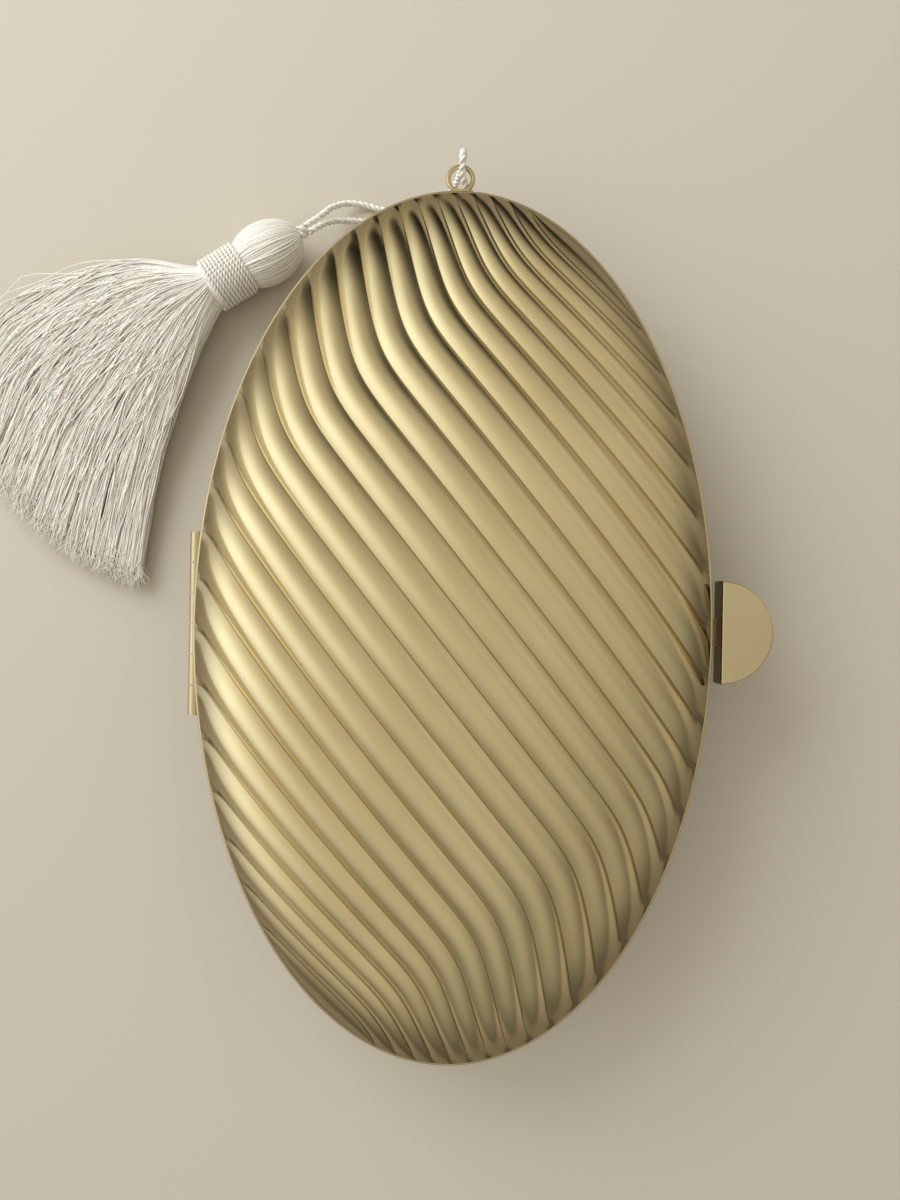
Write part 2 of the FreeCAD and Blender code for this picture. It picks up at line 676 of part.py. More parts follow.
TASSEL_Z = "(Sizes.head_diameter / 2 + Sizes.tassel_lift)"
HEAD_FRONT = "(Sizes.head_half_length * sin(Sizes.head_tip_angle))"
HEAD_BACK = "(Sizes.head_half_length * sin(Sizes.head_neck_angle))"


def tassel_turn():
    """Rotation that lays +Z along the tassel, from its tip to its hem."""
    return FreeCAD.Rotation(V(0, 0, 1), size("tassel_turn")) * FreeCAD.Rotation(V(0, 1, 0), 90)


def tassel_spot(thing, distance):
    """Put a piece at a distance from the tassel's tip along its axis."""
    return place(thing, f"Sizes.tassel_x + ({distance}) * cos(Sizes.tassel_turn)",
                 f"Sizes.tassel_y + ({distance}) * sin(Sizes.tassel_turn)", TASSEL_Z, tassel_turn())


def tassel_point(distance, side=0.0, up=0.0):
    """Point at a distance along the tassel from its tip, with a shift sideways and up."""
    turn = math.radians(size("tassel_turn"))
    ahead = V(math.cos(turn), math.sin(turn), 0)
    left = V(-math.sin(turn), math.cos(turn), 0)
    return V(size("tassel_x"), size("tassel_y"), worth(TASSEL_Z) + up) + ahead * distance + left * side


def arc_between(start, heading, end):
    """Arc from a point, in its heading, to an end point."""
    chord = end - start
    along = V(chord).normalize()
    out = heading - along * heading.dot(along)
    tilt = heading.getAngle(chord)
    bulge = chord.Length / 2 * math.tan(tilt / 2)
    return Part.Arc(start, start + chord * 0.5 + out.normalize() * bulge, end).toShape()


def make_binding():
    """Thread wound round the tassel's neck: one unbroken tube of quarter-turn arc pairs."""
    thick, pitch = size("thread_diameter"), size("thread_pitch")
    radius = size("binding_core") / 2 + thick / 2 + size("thread_gap")
    begin = worth(f"{HEAD_FRONT} + {HEAD_BACK}") + thick
    turns = int((size("binding_length") - 2 * thick) / pitch)
    quarters = turns * 4

    def spot(quarter):
        angle = quarter * math.pi / 2
        return tassel_point(begin + quarter * pitch / 4, radius * math.cos(angle), radius * math.sin(angle))

    def heading(quarter):
        angle = quarter * math.pi / 2
        rise = pitch / (2 * math.pi)
        ahead = tassel_point(rise, -radius * math.sin(angle), radius * math.cos(angle)) - tassel_point(0)
        return ahead.normalize()

    edges = []
    tail = spot(0) - heading(0) * thick
    edges.append(Part.LineSegment(tail, spot(0)).toShape())
    for q in range(quarters):
        p0, p1, t0, t1 = spot(q), spot(q + 1), heading(q), heading(q + 1)
        span = p1 - p0
        lead = span.dot(t0 + t1)
        spread = 2 * (1 - t0.dot(t1))
        arm = (math.sqrt(lead ** 2 + spread * span.dot(span)) - lead) / spread
        meet = (p0 + t0 * arm + p1 - t1 * arm) * 0.5
        first = arc_between(p0, t0, meet)
        second = arc_between(p1, t1 * -1, meet)
        edges += [first, second]
    edges.append(Part.LineSegment(spot(quarters), spot(quarters) + heading(quarters) * thick).toShape())
    path = Part.Wire(Part.__sortEdges__(edges))
    ring = Part.Wire(Part.Circle(tail, heading(0), thick / 2).toShape())
    thread = doc.addObject("Part::Feature", "thread")
    thread.Shape = path.makePipeShell([ring], True, False)
    points = [spot(q / 4) for q in range(quarters * 4 + 1)]
    apart = min((points[i] - points[j]).Length for i in range(len(points)) for j in range(i + 8, len(points)))
    print(f"binding: {turns} turns, least gap to itself {apart - thick:.3f} mm")
    node(thread, "tassel_binding")


def rounded_section(centre, across, half_width, half_thick):
    """Level-lying section of the skirt: straight above and below, round at its two sides."""
    up = V(0, 0, 1)
    flat = half_width - half_thick
    slant = math.sqrt(0.5) * half_thick

    def at(side, high):
        return centre + across * side + up * high

    edges = [Part.LineSegment(at(-flat, half_thick), at(flat, half_thick)),
             Part.Arc(at(flat, half_thick), at(flat + slant, slant), at(half_width, 0)),
             Part.Arc(at(half_width, 0), at(flat + slant, -slant), at(flat, -half_thick)),
             Part.LineSegment(at(flat, -half_thick), at(-flat, -half_thick)),
             Part.Arc(at(-flat, -half_thick), at(-flat - slant, -slant), at(-half_width, 0)),
             Part.Arc(at(-half_width, 0), at(-flat - slant, slant), at(-flat, half_thick))]
    return Part.Wire([edge.toShape() for edge in edges])


def make_skirt():
    """Fan of threads from the neck to the hem, settling on to the table."""
    begin = worth(f"{HEAD_FRONT} + {HEAD_BACK} + Sizes.binding_length")
    length, half_width = size("skirt_length"), size("skirt_width") / 2
    thick_start, thick_end = size("binding_core") * ROOT_SHARE, size("hem_thickness") / 2
    sections = []
    for along, aside, turned, wide, thin in SKIRT_SHARES:
        half_thick = thick_start + (thick_end - thick_start) * thin
        level = half_thick + size("tassel_lift")
        high = worth(TASSEL_Z) if along == 0 else level + (worth(TASSEL_Z) - level) * (1 - thin) ** 2
        centre = tassel_point(begin + along * length, aside * length)
        centre.z = high
        angle = math.radians(size("tassel_turn") + SKIRT_TURN * turned)
        across = V(-math.sin(angle), math.cos(angle), 0)
        half_span = max(half_width * wide, half_thick * LEAST_WIDTH_SHARE)
        sections.append(rounded_section(centre, across, half_span, half_thick))
    skirt = doc.addObject("Part::Feature", "skirt")
    skirt.Shape = Part.makeLoft(sections, True, False)
    node(skirt, "tassel_skirt")


def make_tassel():
    """Knot, bulb, neck, wound thread and skirt, lying on the table."""
    knot = doc.addObject("Part::Cylinder", "knot")
    bind(knot, Radius="Sizes.knot_diameter / 2", Height="Sizes.knot_length")
    tassel_spot(knot, "-Sizes.knot_length")
    node(knot, "tassel_knot")
    head = doc.addObject("Part::Ellipsoid", "head")
    bind(head, Radius1="Sizes.head_half_length", Radius2="Sizes.head_diameter / 2",
         Radius3="Sizes.head_diameter / 2", Angle1="-Sizes.head_tip_angle", Angle2="Sizes.head_neck_angle")
    node(tassel_spot(head, HEAD_FRONT), "tassel_head")
    core = doc.addObject("Part::Cylinder", "core")
    bind(core, Radius="Sizes.binding_core / 2", Height="Sizes.binding_length")
    node(tassel_spot(core, f"{HEAD_FRONT} + {HEAD_BACK}"), "tassel_neck")
    make_binding()
    make_skirt()


def make_cord():
    """Cord through the eye: straight runs joined by tangent arcs, square to the knot at both ends."""
    spread = size("cord_spread")
    near = -size("knot_length") - size("cord_gap")
    far = near - size("cord_lead")
    points = [tassel_point(near, -spread), tassel_point(far, -spread)]
    points += [V(*p) for p in CORD_ROUTE]
    points += [tassel_point(far, spread), tassel_point(near, spread)]
    edges, radii, here = [], [], points[0]
    for before, corner, after in zip(points, points[1:], points[2:]):
        back, ahead = before - corner, after - corner
        turn = math.pi - back.getAngle(ahead)
        setback = ARC_SHARE * min(back.Length, ahead.Length)
        radius = setback / math.tan(turn / 2)
        radii.append(radius)
        enter, leave = corner + V(back).normalize() * setback, corner + V(ahead).normalize() * setback
        middle = (V(back).normalize() + V(ahead).normalize()).normalize()
        crown = corner + middle * (radius / math.cos(turn / 2) - radius)
        edges.append(Part.LineSegment(here, enter).toShape())
        edges.append(Part.Arc(enter, crown, leave).toShape())
        here = leave
    edges.append(Part.LineSegment(here, points[-1]).toShape())
    path = Part.Wire(edges)
    ring = Part.Wire(Part.Circle(points[0], points[1] - points[0], size("cord_diameter") / 2).toShape())
    cord = doc.addObject("Part::Feature", "cord")
    cord.Shape = path.makePipeShell([ring], True, False)
    section = math.pi * size("cord_diameter") ** 2 / 4
    print("cord radii:", " ".join(f"{r:.1f}" for r in radii))
    print(f"cord length {path.Length:.1f} mm, volume {cord.Shape.Volume:.1f} of {section * path.Length:.1f}")
    node(cord, "tassel_cord")


make_shells()
make_frames()
make_hinge()
make_clasp()
make_eye()
make_tassel()
make_cord()
doc.recompute()

for thing in doc.Objects:
    if {"Invalid", "Error"} & set(thing.State):
        raise RuntimeError(f"{thing.Label} failed to build")
for thing in nodes:
    if thing.Shape.isNull() or not thing.Shape.isValid():
        raise RuntimeError(f"{thing.Label} has no valid shape")

os.makedirs("parts", exist_ok=True)
for thing in nodes:
    thing.Shape.exportStep(f"parts/{thing.Label}.step")
print(len(nodes), "pieces written")
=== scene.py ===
"""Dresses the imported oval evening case: fluted brass, linings, rims, clasp, eye, cord and silk tassel."""
import logging
import math
import random
from collections.abc import Sequence
from dataclasses import dataclass
from enum import Enum

import bmesh
import bpy
from mathutils import Matrix, Vector


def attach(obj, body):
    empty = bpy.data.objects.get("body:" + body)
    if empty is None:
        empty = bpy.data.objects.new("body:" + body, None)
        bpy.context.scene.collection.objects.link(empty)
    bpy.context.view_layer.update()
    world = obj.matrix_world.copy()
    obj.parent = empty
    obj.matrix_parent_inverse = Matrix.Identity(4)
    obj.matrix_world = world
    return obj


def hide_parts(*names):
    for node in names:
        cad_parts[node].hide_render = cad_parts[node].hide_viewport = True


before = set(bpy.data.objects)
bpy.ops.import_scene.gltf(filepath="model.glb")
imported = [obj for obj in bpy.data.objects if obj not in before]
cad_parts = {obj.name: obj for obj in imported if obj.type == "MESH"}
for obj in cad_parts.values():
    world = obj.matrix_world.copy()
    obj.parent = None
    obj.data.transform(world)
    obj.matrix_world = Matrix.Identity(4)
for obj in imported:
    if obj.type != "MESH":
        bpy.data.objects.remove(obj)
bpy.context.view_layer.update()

MM = 0.001
TINY = 1e-6
BODY = "base"
LID = "lid"

Colour = tuple[float, float, float]
Point = tuple[float, float, float]
Span = tuple[float, float]
Line = list[Vector]
# Cells to the metre and octaves of a noise, and the band that most of its values lie in.
Noise = tuple[float, float]
NOISE_BAND = (0.3, 0.7)
# Places of the share, the two colours and the mixed colour among the sockets of a mix node.
MIX_SHARE, MIX_FIRST, MIX_SECOND, MIX_RESULT = 0, 6, 7, 2
# Order of the cord's spline and its points between two control points.
ROUTE_ORDER, ROUTE_POINTS = 3, 24

log = logging.getLogger("evening_case")


class Half(Enum):
    """The two halves of the case."""

    FRONT = "front"
    BACK = "back"

    @property
    def body(self) -> str:
        """The body that this half moves with."""
        return LID if self is Half.FRONT else BODY


class Slot(Enum):
    """Material slots of the record, passed along with new pieces but not given to them."""

    FLUTED_BRASS = "fluted_brass"
    LINING = "lining_cloth"
    SILK = "silk"


class NodeBoard:
    """Bench for wiring the nodes of one material or of the room's light."""

    def __init__(self, owner: bpy.types.Material | bpy.types.World, shader: str = "Principled BSDF") -> None:
        """Start from the owner's own shader.

        Args:
            owner: What the nodes belong to.
            shader: Name of the shader node that it starts with.
        """
        owner.use_nodes = True
        self.owner = owner
        self.tree = owner.node_tree
        self.shader = self.tree.nodes[shader]

    def feed(self, node: bpy.types.Node, sockets: dict[str | int, object]) -> bpy.types.Node:
        """Set or link the named inputs of a node.

        Args:
            node: The node to feed.
            sockets: Input names or numbers with a value, or with an output socket to link.

        Returns:
            The same node.
        """
        for key, value in sockets.items():
            if isinstance(value, bpy.types.NodeSocket):
                self.tree.links.new(value, node.inputs[key])
            else:
                node.inputs[key].default_value = value
        return node

    def add(self, kind: str, sockets: dict[str | int, object] | None = None) -> bpy.types.Node:
        """Add a node.

        Args:
            kind: Blender's name for the node type.
            sockets: Inputs to set or link.

        Returns:
            The new node.
        """
        return self.feed(self.tree.nodes.new(kind), sockets or {})

    def place(self) -> bpy.types.NodeSocket:
        """Object coordinates."""
        return self.add("ShaderNodeTexCoord").outputs["Object"]

    def noise(self, scale: float, detail: float, stretch: Point = (1.0, 1.0, 1.0)) -> bpy.types.NodeSocket:
        """Noise on Object coordinates.

        Args:
            scale: Cells to the metre.
            detail: Octaves of finer noise.
            stretch: Scale of each axis before the noise.

        Returns:
            The noise value.
        """
        mapped = self.add("ShaderNodeMapping", {"Vector": self.place(), "Scale": stretch})
        sockets = {"Vector": mapped.outputs["Vector"], "Scale": scale, "Detail": detail}
        return self.add("ShaderNodeTexNoise", sockets).outputs["Fac"]

    def attribute(self, name: str) -> bpy.types.NodeSocket:
        """Value of a mesh attribute.

        Args:
            name: Name of the attribute.

        Returns:
            The value.
        """
        node = self.add("ShaderNodeAttribute")
        node.attribute_name = name
        return node.outputs["Fac"]

    def spread(self, value: bpy.types.NodeSocket, source: Span, target: Span) -> bpy.types.NodeSocket:
        """Map a value from one range to another.

        Args:
            value: The value to map.
            source: Its low and high ends.
            target: What these become.

        Returns:
            The mapped value.
        """
        sockets = {"Value": value, "From Min": source[0], "From Max": source[1],
                   "To Min": target[0], "To Max": target[1]}
        node = self.add("ShaderNodeMapRange", sockets)
        node.interpolation_type = "SMOOTHSTEP"
        return node.outputs["Result"]

    def combine(self, operation: str, first: bpy.types.NodeSocket,
                second: bpy.types.NodeSocket | float) -> bpy.types.NodeSocket:
        """Combine two values.

        Args:
            operation: Blender's name for the operation.
            first: The first value.
            second: The second value.

        Returns:
            The result.
        """
        node = self.add("ShaderNodeMath", {0: first, 1: second})
        node.operation = operation
        return node.outputs["Value"]

    def facing(self, heading: bpy.types.NodeSocket, aim: Point) -> bpy.types.NodeSocket:
        """How far a heading points along an aim.

        Args:
            heading: The heading, of length 1.
            aim: The aim, of any length.

        Returns:
            A value from -1 to 1.
        """
        node = self.add("ShaderNodeVectorMath", {0: heading, 1: Vector(aim).normalized()})
        node.operation = "DOT_PRODUCT"
        return node.outputs["Value"]

    def mix(self, share: bpy.types.NodeSocket, first: object, second: object) -> bpy.types.NodeSocket:
        """Mix two colours.

        Args:
            share: Share of the second colour.
            first: A colour or a colour socket.
            second: A colour or a colour socket.

        Returns:
            The mixed colour.
        """
        node = self.tree.nodes.new("ShaderNodeMix")
        node.data_type = "RGBA"
        self.tree.links.new(share, node.inputs[MIX_SHARE])
        for socket, value in ((node.inputs[MIX_FIRST], first), (node.inputs[MIX_SECOND], second)):
            if isinstance(value, bpy.types.NodeSocket):
                self.tree.links.new(value, socket)
            else:
                socket.default_value = (*value, 1.0)
        return node.outputs[MIX_RESULT]

    def bump(self, height: bpy.types.NodeSocket, distance: float, strength: float) -> None:
        """Rough the surface by a height.

        Args:
            height: The height, from 0 to 1.
            distance: What a height of 1 stands for, in metres.
            strength: Share of the effect.
        """
        node = self.add("ShaderNodeBump", {"Height": height, "Distance": distance, "Strength": strength})
        self.feed(self.shader, {"Normal": node.outputs["Normal"]})


@dataclass(frozen=True)
class SatinBrass:
    """Satin champagne-gold brass with cloudy handling marks, darker down in the valleys, with painted shade
    by the rim that stands in for the dark reflection of the dome's steep sides there.

    A piece given a place across the case is painted with shadow on the side of that place towards the case: a
    painted shadow in its gap to the case.
    """

    name: str
    crest: Colour = (0.68, 0.56, 0.298)
    worn: Colour = (0.73, 0.61, 0.335)
    valley: Colour = (0.24, 0.17, 0.07)
    # colour of the painted shade by the rim and of the painted shadow in the tab's gap
    painted_shade: Colour = (0.15, 0.105, 0.055)
    rough: Span = (0.13, 0.21)
    # place across the case from which the side towards the case gets a painted shadow, the width of its edge
    # and its share
    gap_shade_from: float | None = None
    gap_shade_edge: float = 0.1 * MM
    gap_shade_share: float = 0.9
    valley_start: float = 0.86
    valley_share: float = 0.6
    # where the painted shade towards the foot starts, and its share
    rim_shade_start: float = 0.84
    rim_shade_share: float = 0.75
    cloud: Noise = (38.0, 4.0)
    haze: Noise = (140.0, 5.0)
    grain: Noise = (5200.0, 2.0)
    grain_height: float = 0.006 * MM
    grain_share: float = 0.4

    def material(self) -> bpy.types.Material:
        """Make the material.

        Returns:
            The material.
        """
        board = NodeBoard(bpy.data.materials.new(self.name))
        cloud = board.spread(board.noise(*self.cloud), NOISE_BAND, (0.0, 1.0))
        tone = board.mix(cloud, self.crest, self.worn)
        deep = board.spread(board.attribute("valley"), (self.valley_start, 1.0), (0.0, self.valley_share))
        # painted shade: darker towards the foot, standing in for the dark reflection of the steep sides
        low = board.spread(board.attribute("foot"), (self.rim_shade_start, 1.0), (0.0, self.rim_shade_share))
        # painted shadow in the gap between the tab and the case, in place of the painted shade by the foot
        if self.gap_shade_from is not None:
            across = board.add("ShaderNodeSeparateXYZ", {"Vector": board.place()}).outputs["X"]
            low = board.spread(across, (self.gap_shade_from - self.gap_shade_edge, self.gap_shade_from),
                               (self.gap_shade_share, 0.0))
        # the last mix lays the painted shade over the brass
        board.feed(board.shader, {
            "Base Color": board.mix(low, board.mix(deep, tone, self.valley), self.painted_shade),
            "Metallic": 1.0,
            "Roughness": board.spread(board.noise(*self.haze), NOISE_BAND, self.rough),
        })
        board.bump(board.noise(*self.grain), self.grain_height, self.grain_share)
        return board.owner


@dataclass(frozen=True)
class DrawnSteel:
    """Drawn steel with fine lines along its length."""

    name: str
    light: Colour = (0.62, 0.60, 0.56)
    dark: Colour = (0.42, 0.40, 0.37)
    rough: Span = (0.22, 0.38)
    lines: Noise = (900.0, 3.0)
    line_stretch: Point = (6.0, 0.4, 6.0)
    line_band: Span = (0.2, 0.8)
    line_height: float = 0.01 * MM
    line_share: float = 0.4

    def material(self) -> bpy.types.Material:
        """Make the material.

        Returns:
            The material.
        """
        board = NodeBoard(bpy.data.materials.new(self.name))
        lines = board.noise(*self.lines, self.line_stretch)
        board.feed(board.shader, {
            "Base Color": board.mix(lines, self.dark, self.light),
            "Metallic": 1.0,
            "Roughness": board.spread(lines, self.line_band, self.rough),
        })
        board.bump(lines, self.line_height, self.line_share)
        return board.owner


@dataclass(frozen=True)
class SilkThread:
    """Off-white silk thread, each strand of its own tone, which for the fan's lower layers also carries
    painted shade.
    """

    name: str
    light: Colour = (0.95, 0.925, 0.855)
    shade: Colour = (0.70, 0.60, 0.42)
    rough: float = 0.48
    gloss: float = 0.45
    sheen: float = 0.35
    sheen_rough: float = 0.4
    slub: Noise = (1400.0, 2.0)
    slub_band: Span = (0.45, 0.8)
    slub_share: float = 0.35
    slub_height: float = 0.05 * MM
    slub_strength: float = 0.4

    def material(self) -> bpy.types.Material:
        """Make the material.

        Returns:
            The material.
        """
        board = NodeBoard(bpy.data.materials.new(self.name))
        tone = board.mix(board.attribute("tone"), self.light, self.shade)
        slub = board.noise(*self.slub)
        shaded = board.spread(slub, self.slub_band, (0.0, self.slub_share))
        board.feed(board.shader, {
            "Base Color": board.mix(shaded, tone, self.shade),
            "Roughness": self.rough,
            "Sheen Weight": self.sheen,
            "Sheen Roughness": self.sheen_rough,
            "Specular IOR Level": self.gloss,
        })
        board.bump(slub, self.slub_height, self.slub_strength)
        return board.owner


@dataclass(frozen=True)
class LiningCloth:
    """Soft matt cloth with a fine weave and a slight nap."""

    name: str
    light: Colour = (0.78, 0.70, 0.56)
    shade: Colour = (0.63, 0.54, 0.41)
    threads: float = 1500.0
    slack: float = 0.6
    weave_band: Span = (0.2, 1.0)
    weave_share: float = 0.3
    cloud: Noise = (60.0, 3.0)
    nap: Noise = (420.0, 3.0)
    nap_height: float = 0.12 * MM
    nap_share: float = 0.5
    rough: float = 0.85
    sheen: float = 0.5
    sheen_rough: float = 0.45

    def material(self) -> bpy.types.Material:
        """Make the material.

        Returns:
            The material.
        """
        board = NodeBoard(bpy.data.materials.new(self.name))
        heights = []
        for axis in ("X", "Y"):
            wave = board.add("ShaderNodeTexWave", {
                "Vector": board.place(),
                "Scale": self.threads / math.tau * 2,
                "Distortion": self.slack,
                "Detail": 1.0,
            })
            wave.bands_direction = axis
            heights.append(wave.outputs["Fac"])
        weave = board.combine("MAXIMUM", *heights)
        tone = board.mix(board.noise(*self.cloud), self.shade, self.light)
        # painted shade between the weave's threads
        between = board.spread(weave, self.weave_band, (self.weave_share, 0.0))
        board.feed(board.shader, {
            "Base Color": board.mix(between, tone, self.shade),
            "Roughness": self.rough,
            "Sheen Weight": self.sheen,
            "Sheen Roughness": self.sheen_rough,
        })
        board.bump(board.noise(*self.nap), self.nap_height, self.nap_share)
        return board.owner


@dataclass(frozen=True)
class PaleTable:
    """Plain pale table top."""

    name: str
    colour: Colour = (0.62, 0.56, 0.455)
    rough: float = 0.75

    def material(self) -> bpy.types.Material:
        """Make the material.

        Returns:
            The material.
        """
        board = NodeBoard(bpy.data.materials.new(self.name))
        board.feed(board.shader, {"Base Color": (*self.colour, 1.0), "Roughness": self.rough})
        return board.owner


class Finishes:
    """The finishes of the case, each made once."""

    def __init__(self) -> None:
        """Make every material."""
        self.fluted = SatinBrass("satin_brass_fluted").material()
        # the rims' brass is a darker copy of the fluted brass: painted shade for the thin dark line along the
        # case's edge
        self.rim = SatinBrass("satin_brass_rim_painted_shade", crest=(0.55, 0.45, 0.25), worn=(0.62, 0.51, 0.29),
                              rough=(0.14, 0.24)).material()
        # the tab's finish paints a shadow on its side towards the case, in the gap between them
        self.tab = SatinBrass("satin_brass_tab_gap_shade", crest=(0.57, 0.465, 0.265), worn=(0.63, 0.52, 0.3),
                              rough=(0.14, 0.24), gap_shade_from=55.65 * MM).material()
        self.steel = DrawnSteel("drawn_steel").material()
        self.silk = SilkThread("silk_thread").material()
        self.cloth = LiningCloth("lining_weave").material()
        self.table = PaleTable("pale_table").material()


def made_mesh(bm: bmesh.types.BMesh, name: str) -> bpy.types.Mesh:
    """Turn a finished bmesh into a mesh and free it.

    Args:
        bm: The bmesh.
        name: Name of the mesh.

    Returns:
        The mesh.
    """
    mesh = bpy.data.meshes.new(name)
    bm.to_mesh(mesh)
    bm.free()
    return mesh


def cut_away(bm: bmesh.types.BMesh, height: float, heading: float) -> list[bmesh.types.BMEdge]:
    """Cut away what lies past a level plane.

    Args:
        bm: The bmesh to cut.
        height: Height of the plane.
        heading: 1 to cut away what is above it, -1 for what is below.

    Returns:
        The edges along the cut.
    """
    geom = bm.verts[:] + bm.edges[:] + bm.faces[:]
    cut = bmesh.ops.bisect_plane(bm, geom=geom, plane_co=(0.0, 0.0, height), plane_no=(0.0, 0.0, heading),
                                 clear_outer=True)["geom_cut"]
    return [item for item in cut if isinstance(item, bmesh.types.BMEdge)]


def add_piece(mesh: bpy.types.Mesh, material: bpy.types.Material, body: str, slot: Slot,
              *nodes: str) -> bpy.types.Object:
    """Put a finished mesh into the scene as a piece of the case with the mesh's name.

    Args:
        mesh: Its mesh, in place.
        material: Its material.
        body: The body that it moves with.
        slot: The record's material slot; not used.
        *nodes: The CAD nodes that it stands for.

    Returns:
        The piece.
    """
    mesh.materials.clear()
    mesh.materials.append(material)
    piece = bpy.data.objects.new(mesh.name, mesh)
    bpy.context.scene.collection.objects.link(piece)
    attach(piece, body)
    if nodes:
        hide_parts(*nodes)
    log.info("%s: %d faces on %s", mesh.name, len(mesh.polygons), body)
    return piece


def add_silk(mesh: bpy.types.Mesh, finishes: Finishes, *nodes: str) -> bpy.types.Object:
    """Add a silk piece of the base that stands for the CAD nodes named, and return it."""
    return add_piece(mesh, finishes.silk, BODY, Slot.SILK, *nodes)


def dress(material: bpy.types.Material, *nodes: str) -> None:
    """Give CAD nodes a better material.

    Args:
        material: The material.
        *nodes: Names of the nodes.
    """
    for name in nodes:
        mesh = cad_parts[name].data
        mesh.materials.clear()
        mesh.materials.append(material)
        log.info("%s dressed in %s", name, material.name)


def tubes(name: str, lines: list[Line], radius: float, roundness: int, tones: Sequence[float],
          taper: float = 1.0) -> bpy.types.Mesh:
    """Round threads along lines that have the same number of points.

    Args:
        name: Name of the mesh.
        lines: The centre line of each thread.
        radius: Radius of the threads.
        roundness: Bevel resolution of their section.
        tones: One tone for each thread, kept as an attribute.
        taper: Radius at the far end as a share of the radius.

    Returns:
        The mesh of all the threads.
    """
    curve = bpy.data.curves.new(name, "CURVE")
    curve.dimensions = "3D"
    curve.bevel_depth = radius
    curve.bevel_resolution = roundness
    curve.use_fill_caps = True
    for line in lines:
        spline = curve.splines.new("POLY")
        spline.points.add(len(line) - 1)
        spline.points.foreach_set("co", [value for spot in line for value in (*spot, 1.0)])
        if taper != 1.0:
            last = len(line) - 1
            spline.points.foreach_set("radius", [1.0 + (taper - 1.0) * i / last for i in range(last + 1)])
    holder = bpy.data.objects.new(name, curve)
    mesh = bpy.data.meshes.new_from_object(holder)
    bpy.data.objects.remove(holder)
    bpy.data.curves.remove(curve)
    mesh.name = name
    mesh.polygons.foreach_set("use_smooth", [True] * len(mesh.polygons))
    tone = mesh.attributes.new("tone", "FLOAT", "POINT")
    each = len(mesh.vertices) // len(lines)
    tone.data.foreach_set("value", [value for value in tones for _ in range(each)])
    return mesh


def route_line(points: list[Vector]) -> Line:
    """Points read from a smooth NURBS spline.

    Args:
        points: Its control points.

    Returns:
        The points of the spline.
    """
    curve = bpy.data.curves.new("route", "CURVE")
    curve.dimensions = "3D"
    curve.resolution_u = ROUTE_POINTS
    spline = curve.splines.new("NURBS")
    spline.points.add(len(points) - 1)
    for spot, point in zip(spline.points, points):
        spot.co = (*point, 1.0)
    spline.order_u = ROUTE_ORDER
    spline.use_endpoint_u = True
    holder = bpy.data.objects.new("route", curve)
    mesh = bpy.data.meshes.new_from_object(holder)
    line = [vertex.co.copy() for vertex in mesh.vertices]
    bpy.data.objects.remove(holder)
    bpy.data.curves.remove(curve)
    bpy.data.meshes.remove(mesh)
    return line


def even(line: Line, step: float) -> Line:
    """Points an even distance apart on a line.

    Args:
        line: The line.
        step: Distance apart, or a little less.

    Returns:
        The even points, with the line's own ends.
    """
    runs = [(b - a).length for a, b in zip(line, line[1:])]
    count = max(2, math.ceil(sum(runs) / step))
    pace = sum(runs) / count
    spots, index, passed = [line[0].copy()], 0, 0.0
    for k in range(1, count):
        goal = k * pace
        while passed + runs[index] < goal:
            passed += runs[index]
            index += 1
        spots.append(line[index].lerp(line[index + 1], (goal - passed) / runs[index]))
    return spots + [line[-1].copy()]


def twisted(line: Line, strands: int, offset: float, lay: float) -> list[Line]:
    """Strands laid round a line.

    Args:
        line: Even points of the centre line.
        strands: How many strands.
        offset: Distance from the centre line to each strand's own.
        lay: Length of one full turn of the strands.

    Returns:
        The centre line of each strand.
    """
    heading = (line[1] - line[0]).normalized()
    side = heading.orthogonal().normalized()
    laid: list[Line] = [[] for _ in range(strands)]
    turned = 0.0
    for i, spot in enumerate(line):
        ahead = (line[min(i + 1, len(line) - 1)] - line[max(i - 1, 0)]).normalized()
        side = (side - ahead * side.dot(ahead)).normalized()
        other = ahead.cross(side)
        if i:
            turned += (spot - line[i - 1]).length / lay * math.tau
        for k in range(strands):
            angle = turned + k * math.tau / strands
            laid[k].append(spot + (side * math.cos(angle) + other * math.sin(angle)) * offset)
    return laid


@dataclass
class CappedHalf:
    """What the caps of one half share: the height of their foot, and how far under it their middle lies."""

    half: Half
    front_foot: float = 25.35 * MM
    back_foot: float = 19.05 * MM
    sink: float = 8.5 * MM

    def seat(self, bm: bmesh.types.BMesh) -> None:
        """Put a cap on its rim, the back one turned over.

        Args:
            bm: The cap, with its foot at the origin's height.
        """
        foot = self.front_foot
        if self.half is Half.BACK:
            foot = self.back_foot
            turn = Matrix.Rotation(math.pi, 3, "Y")
            bmesh.ops.rotate(bm, verts=bm.verts, cent=(0.0, 0.0, 0.0), matrix=turn)
        bmesh.ops.translate(bm, verts=bm.verts, vec=(0.0, 0.0, foot))


